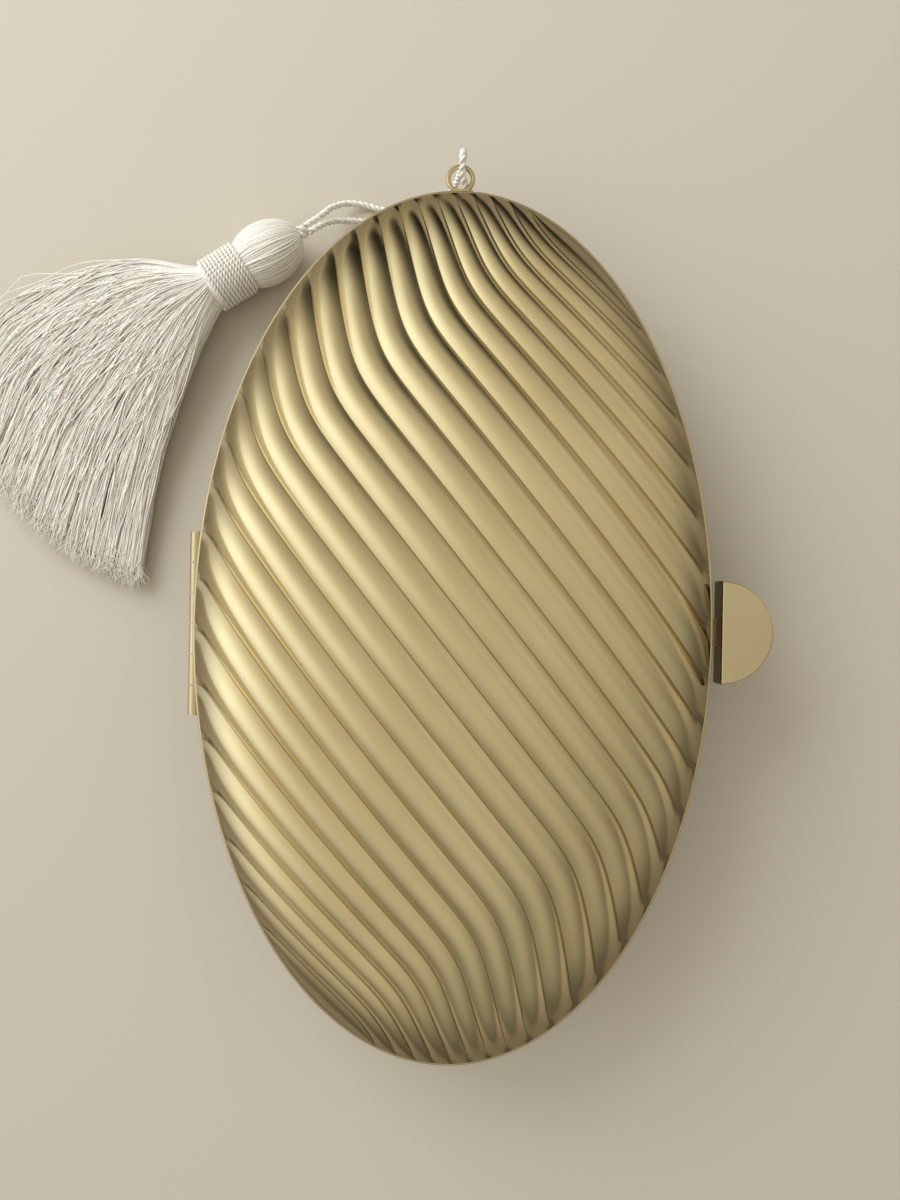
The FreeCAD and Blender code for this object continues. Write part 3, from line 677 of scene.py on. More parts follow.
@dataclass
class FlutedShell(CappedHalf):
    """One pressed brass half: a dome of lobes that lean across the oval and swirl upright at its ends."""

    half_length: float = 90.0 * MM
    half_width: float = 53.5 * MM
    border: float = 0.5 * MM
    rise: float = 19.35 * MM
    wall: float = 0.8 * MM
    pitch: float = 6.18 * MM
    lean: float = math.radians(51.0)
    depth_share: float = 0.19
    bend_start: float = 0.958
    bend_ease: float = 0.058
    bend_slope: float = 0.363
    bend_gain: float = 0.329
    side_sweep: float = 0.134
    fade_power: int = 60
    draw_share: float = 0.12
    last_lobe: float = 0.5
    across_cells: int = 10
    along_cells: int = 72
    scan_steps: int = 320
    stride_steps: int = 4
    solve_steps: int = 12
    halvings: int = 40
    merge: float = 0.004 * MM
    sharp_from: float = 0.999

    @property
    def foot_width(self) -> float:
        """Half width of the dome's foot."""
        return self.half_width - self.border

    @property
    def foot_length(self) -> float:
        """Half length of the dome's foot."""
        return self.half_length - self.border

    def past_bend(self, along: float) -> float:
        """Share of the half width by which a place along the flutes lies past the eased bend."""
        return self.bend_ease * math.log1p(math.exp((along - self.bend_start) / self.bend_ease))

    def spot(self, along: float, phase: float) -> tuple[float, float]:
        """Plan point on the line of one flute phase.

        Args:
            along: Share of the half width along the flutes.
            phase: Count of flutes from the middle.

        Returns:
            The point's x and y.
        """
        ahead, behind = self.past_bend(along), self.past_bend(-along)
        fanning = 1 - self.bend_gain * (ahead + behind)
        target = phase * self.pitch / self.half_width - self.bend_slope * (ahead - behind)
        across = target / fanning
        for _ in range(self.solve_steps):
            miss = across * fanning - self.side_sweep * along * across ** 4 - target
            across -= miss / (fanning - 4 * self.side_sweep * along * across ** 3)
        run, rise = math.cos(self.lean), math.sin(self.lean)
        x, y = along * run + across * rise, across * run - along * rise
        return self.half_width * x, self.half_width * y

    def phase_at(self, x: float, y: float) -> float:
        """Count of flutes from the middle of the case to a plan point.

        Args:
            x: Place across the case.
            y: Place along the case.

        Returns:
            The flute phase.
        """
        along = (x * math.cos(self.lean) - y * math.sin(self.lean)) / self.half_width
        across = (x * math.sin(self.lean) + y * math.cos(self.lean)) / self.half_width
        ahead, behind = self.past_bend(along), self.past_bend(-along)
        bent = across * (1 - self.bend_gain * (ahead + behind)) + self.bend_slope * (ahead - behind)
        return (bent - self.side_sweep * along * across ** 4) * self.half_width / self.pitch

    def pitch_at(self, x: float, y: float) -> float:
        """Width of one flute at a plan point.

        Args:
            x: Place across the case.
            y: Place along the case.

        Returns:
            The local pitch.
        """
        step = self.pitch / self.scan_steps
        slope_x = (self.phase_at(x + step, y) - self.phase_at(x - step, y)) / (2 * step)
        slope_y = (self.phase_at(x, y + step) - self.phase_at(x, y - step)) / (2 * step)
        return 1 / math.hypot(slope_x, slope_y)

    def drawn(self, share: float) -> float:
        """Share of the way from foot to foot, with even steps drawn together near both."""
        return share - self.draw_share * math.sin(math.tau * share)

    def reach(self, x: float, y: float) -> float:
        """Share of the way from the middle of the dome to its foot."""
        return math.hypot(x / self.foot_width, y / self.foot_length)

    def dome_point(self, x: float, y: float, sunk: float) -> Vector:
        """Point on the dome, sunk square to it.

        Args:
            x: Place across the case.
            y: Place along the case.
            sunk: Share of the flute depth there.

        Returns:
            The point above the foot's plane.
        """
        share = min(self.reach(x, y), 1.0)
        full = self.rise + self.sink
        foot = math.sqrt(1 - (self.sink / full) ** 2)
        high = full * math.sqrt(1 - (share * foot) ** 2)
        depth = sunk * self.depth_share * self.pitch_at(x, y) * (1 - share ** self.fade_power)
        normal = Vector((x * (foot / self.foot_width) ** 2, y * (foot / self.foot_length) ** 2,
                         high / full ** 2))
        return Vector((x, y, high - self.sink)) - normal.normalized() * depth

    def fullest(self) -> tuple[float, float]:
        """Find the greatest phase on the foot.

        Returns:
            The phase, and the share along the flutes where it lies.
        """
        best = (0.0, 0.0)
        for i in range(self.scan_steps):
            angle = math.tau * i / self.scan_steps
            x, y = self.foot_width * math.cos(angle), self.foot_length * math.sin(angle)
            along = (x * math.cos(self.lean) - y * math.sin(self.lean)) / self.half_width
            best = max(best, (self.phase_at(x, y), along))
        return best

    def rim_ends(self, phase: float) -> list[float]:
        """Shares along the flutes where the line of one phase meets the foot.

        Args:
            phase: The flute phase.

        Returns:
            The two shares.
        """
        most, seat = self.fullest()
        stride = self.half_length / self.half_width / self.scan_steps * self.stride_steps
        ends = []
        for outward in (-stride, stride):
            low = seat * phase / most
            high = low + outward
            while self.reach(*self.spot(high, phase)) < 1:
                low, high = high, high + outward
            for _ in range(self.halvings):
                middle = (low + high) / 2
                if self.reach(*self.spot(middle, phase)) < 1:
                    low = middle
                else:
                    high = middle
            ends.append((low + high) / 2)
        return ends

    def strip(self, bm: bmesh.types.BMesh, sunk_layer: object) -> list[bmesh.types.BMVert]:
        """Flat grid that becomes one lobe.

        Args:
            bm: The mesh to add it to.
            sunk_layer: Layer that will hold how deep a vertex lies in its flute.

        Returns:
            Its vertices, with x and y from -0.5 to 0.5.
        """
        made = bmesh.ops.create_grid(bm, x_segments=self.across_cells, y_segments=self.along_cells, size=0.5)
        for vertex in made["verts"]:
            vertex[sunk_layer] = (2 * vertex.co.x) ** 2
        return made["verts"]

    def raise_lobe(self, verts: list[bmesh.types.BMVert], middle: float, sunk_layer: object) -> None:
        """Lay a flat grid over the dome as the lobe round one crest.

        Args:
            verts: The grid's vertices.
            middle: Phase of the crest.
            sunk_layer: Layer that holds how deep a vertex lies in its flute.
        """
        ends: dict[int, list[float]] = {}
        for vertex in verts:
            u, v = vertex.co.x, vertex.co.y + 0.5
            column = round(u * self.across_cells * 2)
            if column not in ends:
                ends[column] = self.rim_ends(middle + u)
            start, end = ends[column]
            along = start + (end - start) * self.drawn(v)
            vertex.co = self.dome_point(*self.spot(along, middle + u), vertex[sunk_layer])
            if v < TINY or v > 1 - TINY:
                vertex.co.z = 0.0

    def raise_crescent(self, verts: list[bmesh.types.BMVert], phase: float, sunk_layer: object) -> None:
        """Lay a flat grid over the dome between the last valley and the foot beside it.

        Args:
            verts: The grid's vertices.
            phase: Phase of the last valley.
            sunk_layer: Layer that holds how deep a vertex lies in its flute.
        """
        start, end = self.rim_ends(phase)
        angles = []
        for along in (start, end):
            x, y = self.spot(along, phase)
            angles.append(math.atan2(y / self.foot_length, x / self.foot_width))
        turn = (angles[1] - angles[0] + math.pi) % math.tau - math.pi
        for vertex in verts:
            u, v = vertex.co.x + 0.5, self.drawn(vertex.co.y + 0.5)
            low = Vector(self.spot(start + (end - start) * v, phase))
            angle = angles[0] + turn * v
            rim = Vector((self.foot_width * math.cos(angle), self.foot_length * math.sin(angle)))
            spot = low.lerp(rim, u)
            vertex.co = self.dome_point(spot.x, spot.y, vertex[sunk_layer])
            if u > 1 - TINY or v < TINY or v > 1 - TINY:
                vertex.co.z = 0.0

    def skin(self) -> bmesh.types.BMesh:
        """Make the fluted skin of the dome, open at its foot.

        Returns:
            The skin.
        """
        bm = bmesh.new()
        sunk_layer = bm.verts.layers.float.new("valley")
        foot_layer = bm.verts.layers.float.new("foot")
        last = math.floor(self.fullest()[0] - self.last_lobe + 0.5) - 0.5
        for i in range(int(2 * last)):
            self.raise_lobe(self.strip(bm, sunk_layer), -last + i + 0.5, sunk_layer)
        for phase in (-last, last):
            self.raise_crescent(self.strip(bm, sunk_layer), phase, sunk_layer)
        bmesh.ops.remove_doubles(bm, verts=bm.verts, dist=self.merge)
        for vertex in bm.verts:
            vertex[foot_layer] = self.reach(vertex.co.x, vertex.co.y)
        bmesh.ops.recalc_face_normals(bm, faces=bm.faces)
        if sum(face.normal.z for face in bm.faces) < 0:
            bmesh.ops.reverse_faces(bm, faces=bm.faces)
        return bm

    def thicken(self, bm: bmesh.types.BMesh) -> None:
        """Add the smooth inside of the pressing and close the foot.

        Args:
            bm: The fluted skin.
        """
        sunk_layer = bm.verts.layers.float["valley"]
        for edge in bm.edges:
            sunk = min(vertex[sunk_layer] for vertex in edge.verts)
            edge.smooth = sunk < self.sharp_from and not edge.is_boundary
        pressing = self.wall + self.depth_share * self.pitch
        wide, tall = self.foot_width - pressing, self.foot_length - pressing
        full = self.rise - pressing + self.sink
        foot = math.sqrt(1 - (self.sink / full) ** 2)
        inside = bmesh.ops.extrude_face_region(bm, geom=bm.faces[:], use_keep_orig=True)["geom"]
        for vertex in (item for item in inside if isinstance(item, bmesh.types.BMVert)):
            x, y = vertex.co.x / self.foot_width, vertex.co.y / self.foot_length
            share = min(math.hypot(x, y), 1.0)
            vertex.co = Vector((x * wide, y * tall, full * math.sqrt(1 - (share * foot) ** 2) - self.sink))
            vertex[sunk_layer] = 0.0
        for edge in (item for item in inside if isinstance(item, bmesh.types.BMEdge)):
            edge.smooth = max(abs(vertex.co.z) for vertex in edge.verts) > TINY
        for face in bm.faces:
            face.smooth = True
        bmesh.ops.recalc_face_normals(bm, faces=bm.faces)

    def lap(self, bm: bmesh.types.BMesh) -> None:
        """Lap the seated back half flat where it rests on the table.

        Args:
            bm: The whole pressing.
        """
        lapped = cut_away(bm, 0.0, -1.0)
        for edge in lapped:
            edge.smooth = False
        bmesh.ops.holes_fill(bm, edges=lapped, sides=0)

    def build(self, finishes: Finishes) -> bpy.types.Object:
        """Make the pressing.

        Args:
            finishes: The case's finishes.

        Returns:
            The piece.
        """
        bm = self.skin()
        self.thicken(bm)
        self.seat(bm)
        if self.half is Half.BACK:
            self.lap(bm)
        side = self.half.value
        mesh = made_mesh(bm, f"{side}_fluted_half")
        return add_piece(mesh, finishes.fluted, self.half.body, Slot.FLUTED_BRASS, f"{side}_shell")


@dataclass
class Lining(CappedHalf):
    """Cloth glued inside one half, drawn into small puckers towards its edge."""

    half_width: float = 50.72 * MM
    half_length: float = 87.22 * MM
    rise: float = 17.07 * MM
    thickness: float = 0.5 * MM
    pucker: float = 0.16 * MM
    puckers: int = 84
    pucker_power: int = 8
    segments: int = 252
    rings: int = 56
    flat: tuple[float, float] = (0.112, 0.182)
    flat_area: float = 0.0156

    def build(self, finishes: Finishes) -> bpy.types.Object:
        """Make the lining.

        Args:
            finishes: The case's finishes.

        Returns:
            The piece.
        """
        bm = bmesh.new()
        bmesh.ops.create_uvsphere(bm, u_segments=self.segments, v_segments=self.rings, radius=1.0)
        full = self.rise + self.sink
        low = self.sink / full
        foot = math.sqrt(1 - low ** 2)
        cut_away(bm, low, -1.0)
        for vertex in bm.verts:
            x, y = vertex.co.x / foot, vertex.co.y / foot
            ripple = 0.5 + 0.5 * math.sin(self.puckers * math.atan2(y, x))
            drawn = self.pucker * ripple * math.hypot(x, y) ** self.pucker_power
            vertex.co = Vector((x * (self.half_width - drawn), y * (self.half_length - drawn),
                                vertex.co.z * full - self.sink))
        for face in bm.faces:
            face.smooth = True
        self.seat(bm)
        side = self.half.value
        mesh = made_mesh(bm, f"{side}_cloth")
        piece = add_piece(mesh, finishes.cloth, self.half.body, Slot.LINING, f"{side}_lining")
        solid = piece.modifiers.new("cloth", "SOLIDIFY")
        solid.thickness = self.thickness
        solid.offset = -1.0
        return piece


class Metalwork:
    """Rims, hinge, clasp and eye: CAD shapes in their own finishes, the rims' a darker brass as painted shade
    and the tab's with a painted shadow in its gap.
    """

    BRASS = ("back_frame", "front_frame", "closing_lip", "front_hinge_leaf", "back_hinge_leaf",
             "clasp_bracket", "catch_keeper", "cord_eye")
    STEEL = ("hinge_pin", "clasp_pin", "catch_spring")

    def build(self, finishes: Finishes) -> None:
        """Dress the nodes.

        Args:
            finishes: The case's finishes.
        """
        dress(finishes.rim, *self.BRASS)
        dress(finishes.tab, "clasp_tab")
        dress(finishes.steel, *self.STEEL)


@dataclass
class TasselCord:
    """Twisted cord from the tassel's knot through the eye and back."""

    diameter: float = 1.3 * MM
    lay: float = 2.6 * MM
    step: float = 0.16 * MM
    strand_share: float = 0.31
    offset_share: float = 0.28
    roundness: int = 2
    tones: tuple[float, ...] = (0.0, 0.25)
    route: tuple[Point, ...] = (
        (-34.68, 89.325, 6.9), (-32.987, 90.391, 6.9),
        (-31.0, 91.9, 6.4), (-29.3, 94.3, 4.8), (-26.4, 96.3, 2.5), (-22.4, 96.7, 0.95), (-17.8, 95.4, 0.8),
        (-12.6, 94.9, 0.8), (-7.2, 95.7, 1.2), (-2.6, 97.4, 4.4), (-0.5, 99.0, 9.6), (0.3, 99.9, 14.8),
        (0.6, 100.4, 19.2), (0.5, 99.6, 22.3), (0.3, 97.4, 23.4), (0.25, 95.2, 21.6), (0.9, 93.5, 19.8),
        (2.3, 92.2, 18.1), (4.1, 91.9, 16.2), (4.7, 92.4, 13.0), (2.9, 93.7, 8.8), (-1.6, 94.2, 3.8),
        (-6.6, 93.4, 1.1), (-12.0, 92.3, 0.8), (-17.6, 92.5, 0.8), (-22.6, 92.8, 0.95), (-26.9, 92.2, 2.8),
        (-29.8, 90.8, 5.4), (-32.081, 88.952, 6.9), (-33.774, 87.886, 6.9),
    )

    def build(self, finishes: Finishes) -> bpy.types.Object:
        """Make the cord.

        Args:
            finishes: The case's finishes.

        Returns:
            The piece.
        """
        line = even(route_line([Vector(point) * MM for point in self.route]), self.step)
        lines = twisted(line, len(self.tones), self.diameter * self.offset_share, self.lay)
        mesh = tubes("twisted_cord", lines, self.diameter * self.strand_share, self.roundness, self.tones)
        piece = add_silk(mesh, finishes, "tassel_cord")
        return piece


@dataclass
class TasselPiece:
    """What the pieces of the tassel share: its axis on the table and its main lengths, in millimetres."""

    tip: Point = (-36.3, 87.3, 6.9)
    turn: float = math.radians(212.2)
    head_front: float = 8.307
    head_back: float = 5.412
    neck_length: float = 9.4
    seed: int = 7

    @property
    def neck_start(self) -> float:
        """Distance from the tip to where the neck starts."""
        return self.head_front + self.head_back

    def spot(self, distance: float, side: float = 0.0, up: float = 0.0) -> Vector:
        """Point of the tassel in metres.

        Args:
            distance: Distance from the tip along its axis, in millimetres.
            side: Shift to its left, in millimetres.
            up: Shift upwards, in millimetres.

        Returns:
            The point.
        """
        ahead = Vector((math.cos(self.turn), math.sin(self.turn), 0.0))
        left = Vector((-math.sin(self.turn), math.cos(self.turn), 0.0))
        return (Vector(self.tip) + ahead * distance + left * side + Vector((0.0, 0.0, up))) * MM

    def ring_spot(self, distance: float, radius: float, angle: float) -> Vector:
        """Point in metres at a radius and an angle round the axis."""
        return self.spot(distance, radius * math.cos(angle), radius * math.sin(angle))

    def add_core(self, bm: bmesh.types.BMesh, name: str, distance: float, finishes: Finishes,
                 *nodes: str) -> None:
        """Lay a core made along +Z on the tassel's axis and add it as a piece.

        Args:
            bm: The core, in millimetres.
            name: Name of the piece.
            distance: Where its origin goes, in millimetres from the tip.
            finishes: The case's finishes.
            *nodes: The CAD nodes that it stands for.
        """
        lay = Matrix.Rotation(self.turn, 4, "Z") @ Matrix.Rotation(math.pi / 2, 4, "Y")
        laid = Matrix.Translation(self.spot(distance)) @ lay @ Matrix.Scale(MM, 4)
        bmesh.ops.transform(bm, matrix=laid, verts=bm.verts)
        bmesh.ops.recalc_face_normals(bm, faces=bm.faces)
        for face in bm.faces:
            face.smooth = True
        add_silk(made_mesh(bm, name), finishes, *nodes)


@dataclass
class TasselKnot(TasselPiece):
    """Knot of two-ply cord that ties the cord's ends above the bulb."""

    length: float = 2.4
    turns: int = 2
    points: int = 240
    lobes: float = 1.5
    ring: float = 0.82
    swell: float = 0.36
    reach: float = 0.62
    step: float = 0.1
    strand: float = 0.3
    offset: float = 0.27
    lay: float = 2.2
    roundness: int = 2
    tones: tuple[float, ...] = (0.0, 0.25)

    def build(self, finishes: Finishes) -> None:
        """Make the knot.

        Args:
            finishes: The case's finishes.
        """
        line = []
        for i in range(self.points + 1):
            angle = math.tau * self.turns * i / self.points
            radius = self.ring + self.swell * math.cos(self.lobes * angle)
            along = -self.length / 2 + self.reach * math.sin(self.lobes * angle)
            line.append(self.ring_spot(along, radius, angle))
        lines = twisted(even(line, self.step * MM), len(self.tones), self.offset * MM, self.lay * MM)
        mesh = tubes("tassel_tied_knot", lines, self.strand * MM, self.roundness, self.tones)
        add_silk(mesh, finishes, "tassel_knot")


@dataclass
class TasselHead(TasselPiece):
    """Bulb: a core under threads that run from the knot to the neck."""

    half_length: float = 8.6
    radius: float = 6.8
    threads: int = 104
    points: int = 16
    strand: float = 0.3
    roundness: int = 1
    span: Span = (math.radians(-81.0), math.radians(39.0))
    twist: float = 0.12
    shift: Span = (-0.25, 0.25)
    lift: Span = (-0.12, 0.12)
    skew: Span = (-0.05, 0.05)
    tones: Span = (0.0, 0.35)
    core_gap: float = 0.35
    core_segments: int = 48
    core_rings: int = 24

    def build(self, finishes: Finishes) -> None:
        """Make the threads and the core.

        Args:
            finishes: The case's finishes.
        """
        draw = random.Random(self.seed)
        low, high = self.span
        lines, tones = [], []
        for k in range(self.threads):
            base = math.tau * (k + draw.uniform(*self.shift)) / self.threads
            lift = draw.uniform(*self.lift)
            skew = draw.uniform(*self.skew)
            line = []
            for i in range(self.points):
                tilt = low + (high - low) * i / (self.points - 1)
                angle = base + skew * math.sin(tilt * 2) + self.twist * tilt
                radius = (self.radius - self.strand + lift) * math.cos(tilt)
                along = self.head_front + self.half_length * math.sin(tilt)
                line.append(self.ring_spot(along, radius, angle))
            lines.append(line)
            tones.append(draw.uniform(*self.tones))
        mesh = tubes("tassel_bulb_threads", lines, self.strand * MM, self.roundness, tones)
        add_silk(mesh, finishes, "tassel_head")
        bm = bmesh.new()
        bmesh.ops.create_uvsphere(bm, u_segments=self.core_segments, v_segments=self.core_rings, radius=1.0)
        wide, tall = self.radius - self.core_gap, self.half_length - self.core_gap
        bmesh.ops.scale(bm, verts=bm.verts, vec=(wide, wide, tall))
        bmesh.ops.holes_fill(bm, edges=cut_away(bm, self.head_back, 1.0), sides=0)
        self.add_core(bm, "tassel_bulb_core", self.head_front, finishes)


@dataclass
class TasselNeck(TasselPiece):
    """Wound neck: turns of two-ply thread side by side over a core."""

    radius: float = 5.3
    wrap: float = 0.86
    first_wrap: float = 0.4
    spare_wrap: float = 0.6
    lift: float = 0.32
    points: int = 60
    step: float = 0.3
    strand: float = 0.27
    offset: float = 0.2
    lay: float = 1.9
    roundness: int = 1
    tones: tuple[float, ...] = (0.05, 0.3)
    core_segments: int = 64
    core_taper: float = 0.1
    core_bevel: float = 0.3
    bevel_steps: int = 2

    def build(self, finishes: Finishes) -> None:
        """Make the winding and the core.

        Args:
            finishes: The case's finishes.
        """
        begin = self.neck_start + self.wrap * self.first_wrap
        turns = int((self.neck_length - self.wrap * self.spare_wrap) / self.wrap)
        line = []
        for i in range(turns * self.points + 1):
            turned = i / self.points
            along = begin + turned * self.wrap
            line.append(self.ring_spot(along, self.radius + self.lift, math.tau * turned))
        lines = twisted(even(line, self.step * MM), len(self.tones), self.offset * MM, self.lay * MM)
        mesh = tubes("tassel_wound_neck", lines, self.strand * MM, self.roundness, self.tones)
        add_silk(mesh, finishes, "tassel_binding")
        bm = bmesh.new()
        bmesh.ops.create_cone(bm, cap_ends=True, segments=self.core_segments, radius1=self.radius,
                              radius2=self.radius - self.core_taper, depth=self.neck_length)
        rims = [edge for edge in bm.edges if abs(edge.verts[0].co.z - edge.verts[1].co.z) < TINY]
        bmesh.ops.bevel(bm, geom=rims, offset=self.core_bevel, segments=self.bevel_steps, profile=0.5,
                        affect="EDGES", material=-1)
        self.add_core(bm, "tassel_neck_core", self.neck_start + self.neck_length / 2, finishes, "tassel_neck")


@dataclass(frozen=True)
class FanStation:
    """One section of the fan of threads, in millimetres and as a share of the hem's turn."""

    along: float
    side: float
    half: float
    turned: float
    high: float
    thick: float


@dataclass(frozen=True)
class ThreadLayer:
    """One layer of the fan: its count of threads, its place in the thickness and its painted shade, more for
    the lower layers.
    """

    name: str
    threads: int
    level: Span
    shade: float
    nodes: tuple[str, ...] = ()


@dataclass
class TasselSkirt(TasselPiece):
    """Fan of silk threads in layers and locks, with frayed ends and a few strays on top."""

    stations: tuple[FanStation, ...] = (
        FanStation(0.0, 0.0, 4.9, 0.0, 6.9, 4.7),
        FanStation(11.3, -1.0, 12.2, 0.0, 6.1, 4.3),
        FanStation(25.0, 0.5, 19.7, 0.43, 4.8, 3.6),
        FanStation(40.5, 5.9, 26.5, 0.78, 3.5, 2.9),
        FanStation(55.1, 17.8, 29.7, 1.0, 2.8, 2.3),
    )
    # the under and middle layers are painted darker: painted shade beneath the upper threads
    layers: tuple[ThreadLayer, ...] = (
        ThreadLayer("tassel_under_threads", 900, (-0.95, -0.2), 0.2),
        ThreadLayer("tassel_middle_threads", 900, (-0.2, 0.45), 0.1),
        ThreadLayer("tassel_upper_threads", 1300, (0.4, 0.98), 0.0, ("tassel_skirt",)),
    )
    hem_turn: float = math.radians(13.4)
    hem_bulge: float = 7.7
    bulge_power: int = 3
    neck_rounding: float = 0.35
    edge_thinning: float = 0.75
    neck_overlap: float = 0.6
    table_gap: float = 0.25
    thread: float = 0.27
    roundness: int = 0
    points: int = 13
    ends: Span = (0.93, 1.0)
    tones: Span = (0.0, 0.4)
    locks: int = 44
    lock_place: Span = (0.1, 0.9)
    lock_pull: Span = (0.0, 0.5)
    lock_bend: Span = (-0.9, 0.9)
    lock_doubt: Span = (-0.02, 0.02)
    gather_pace: float = 1.6
    fall_pace: float = 2.5
    wave: Span = (17.0, 34.0)
    wave_size: Span = (0.15, 0.75)
    ripple: Span = (10.0, 13.0)
    ripple_size: float = 0.22
    lift_size: float = 0.2
    lift_pace: float = 0.8
    fibres: int = 2
    fibre_radius: float = 0.1
    fibre_taper: float = 0.5
    fibre_length: Span = (1.2, 3.4)
    fibre_spread: Point = (0.3, 0.3, 0.12)
    fibre_curl: Point = (0.25, 0.25, 0.1)
    fibre_steps: tuple[float, ...] = (0.0, 0.5, 1.0)
    fibre_tones: Span = (0.0, 0.25)
    strays: int = 150
    stray_points: int = 22
    stray_place: Span = (-0.95, 0.98)
    stray_drift: float = 0.22
    stray_pull: Span = (0.3, 0.9)
    stray_bend: Span = (-4.0, 4.0)
    stray_level: Span = (0.9, 1.12)
    stray_ends: Span = (0.8, 1.0)
    stray_sway: float = 2.0
    stray_tones: Span = (0.0, 0.15)
    stray_roundness: int = 1

    def fan_point(self, u: float, v: float, share: float) -> Vector:
        """Point of the fan of threads, before any thread's own waves.

        Args:
            u: Place across the fan, from -1 to 1.
            v: Place through its thickness, from -1 to 1.
            share: Share of the way from the neck to the hem.

        Returns:
            The point in the tassel's own millimetres: along, side and height.
        """
        last = len(self.stations) - 1
        k = min(int(share * last), last - 1)
        t = share * last - k
        spots = []
        for i in (k - 1, k, k + 1, k + 2):
            index = min(max(i, 0), last)
            station = self.stations[index]
            angle = self.hem_turn * station.turned
            reach = station.half * (u * (1 - v * v * self.neck_rounding) if i <= 0 else u)
            bulge = self.hem_bulge * (1 - u * u) * (index / last) ** self.bulge_power
            level = v * station.thick * math.sqrt(max(0.0, 1 - self.edge_thinning * u * u))
            spots.append(Vector((station.along - math.sin(angle) * reach + math.cos(angle) * bulge,
                                 station.side + math.cos(angle) * reach + math.sin(angle) * bulge,
                                 station.high + level)))
        a, b, c, d = spots
        if k == 0:
            a = b * 2 - c
        return 0.5 * ((b * 2) + (c - a) * t + (a * 2 - b * 5 + c * 4 - d) * t ** 2
                      + (b * 3 - a - c * 3 + d) * t ** 3)

    def thread_line(self, draw: random.Random, u: float, v: float, lock: Point, steps: int, end: float,
                    sway: float = 1.0) -> Line:
        """Centre line of one thread of the skirt.

        Args:
            draw: The seeded draws.
            u: Place across the fan.
            v: Place through its thickness.
            lock: The lock that it falls in: its place across, how much it gathers and its bend.
            steps: Number of points.
            end: Share of the length where it ends.
            sway: How far it waves, as a share of the usual.

        Returns:
            The line.
        """
        begin = self.neck_start + self.neck_length - self.neck_overlap
        centre, pull, bend = lock
        wave, phase = draw.uniform(*self.wave), draw.uniform(0.0, math.tau)
        ripple, ripple_phase = draw.uniform(*self.ripple), draw.uniform(0.0, math.tau)
        size = draw.uniform(*self.wave_size) * sway
        line = []
        for i in range(steps):
            share = end * i / (steps - 1)
            gathered = u + (centre - u) * pull * min(1.0, share * self.gather_pace) ** 2
            spot = self.fan_point(gathered, v, share)
            fall = min(1.0, share * self.fall_pace)
            waved = spot.x / wave * math.tau
            side = size * fall * math.sin(waved + phase) + bend * fall * share
            side += self.ripple_size * share * math.sin(spot.x / ripple * math.tau + ripple_phase)
            lift = self.lift_size * fall * math.sin(waved * self.lift_pace + ripple_phase)
            point = self.spot(begin + spot.x, spot.y + side)
            line.append(Vector((point.x, point.y, max(spot.z + lift, self.table_gap) * MM)))
        return line

    def build_layers(self, finishes: Finishes, draw: random.Random) -> list[tuple[Vector, Vector]]:
        """Make the layers of threads, which fall together in locks.

        Args:
            finishes: The case's finishes.
            draw: The seeded draws.

        Returns:
            Each thread's end and its heading there.
        """
        locks = [(-1 + 2 * (k + draw.uniform(*self.lock_place)) / self.locks, draw.uniform(*self.lock_pull),
                  draw.uniform(*self.lock_bend)) for k in range(self.locks)]
        ends = []
        for layer in self.layers:
            lines, tones = [], []
            for k in range(layer.threads):
                u = -1 + 2 * (k + draw.random()) / layer.threads
                v = draw.uniform(*layer.level)
                lock = min(locks, key=lambda item: abs(item[0] - u + draw.uniform(*self.lock_doubt)))
                line = self.thread_line(draw, u, v, lock, self.points, draw.uniform(*self.ends))
                lines.append(line)
                # random tone plus the layer's painted shade
                tones.append(draw.uniform(*self.tones) + layer.shade)
                ends.append((line[-1], (line[-1] - line[-2]).normalized()))
            mesh = tubes(layer.name, lines, self.thread / 2 * MM, self.roundness, tones)
            add_silk(mesh, finishes, *layer.nodes)
        return ends

    def build_fray(self, finishes: Finishes, draw: random.Random, ends: list[tuple[Vector, Vector]]) -> None:
        """Make the frayed tips of the threads.

        Args:
            finishes: The case's finishes.
            draw: The seeded draws.
            ends: Each thread's end and its heading there.
        """
        lines, tones = [], []
        for spot, heading in ends:
            for _ in range(self.fibres):
                aim = (heading + Vector([draw.gauss(0, size) for size in self.fibre_spread])).normalized()
                long = draw.uniform(*self.fibre_length) * MM
                curl = Vector([draw.gauss(0, size) for size in self.fibre_curl]) * long
                line = [spot + aim * long * t + curl * t * t for t in self.fibre_steps]
                for point in line:
                    point.z = max(point.z, self.table_gap * MM)
                lines.append(line)
                tones.append(draw.uniform(*self.fibre_tones))
        mesh = tubes("tassel_frayed_hem", lines, self.fibre_radius * MM, self.roundness, tones,
                     self.fibre_taper)
        add_silk(mesh, finishes)

    def build_strays(self, finishes: Finishes, draw: random.Random) -> None:
        """Make the loose threads that wander over the fan.

        Args:
            finishes: The case's finishes.
            draw: The seeded draws.
        """
        lines, tones = [], []
        for _ in range(self.strays):
            u = draw.uniform(*self.stray_place)
            lock = (u + draw.gauss(0, self.stray_drift), draw.uniform(*self.stray_pull),
                    draw.uniform(*self.stray_bend))
            lines.append(self.thread_line(draw, u, draw.uniform(*self.stray_level), lock, self.stray_points,
                                          draw.uniform(*self.stray_ends), self.stray_sway))
            tones.append(draw.uniform(*self.stray_tones))
        mesh = tubes("tassel_stray_threads", lines, self.thread / 2 * MM, self.stray_roundness, tones)
        add_silk(mesh, finishes)

    def build(self, finishes: Finishes) -> None:
        """Make the fan, its frayed ends and its strays.

        Args:
            finishes: The case's finishes.
        """
        draw = random.Random(self.seed + 1)
        ends = self.build_layers(finishes, draw)
        self.build_fray(finishes, draw, ends)
        self.build_strays(finishes, draw)


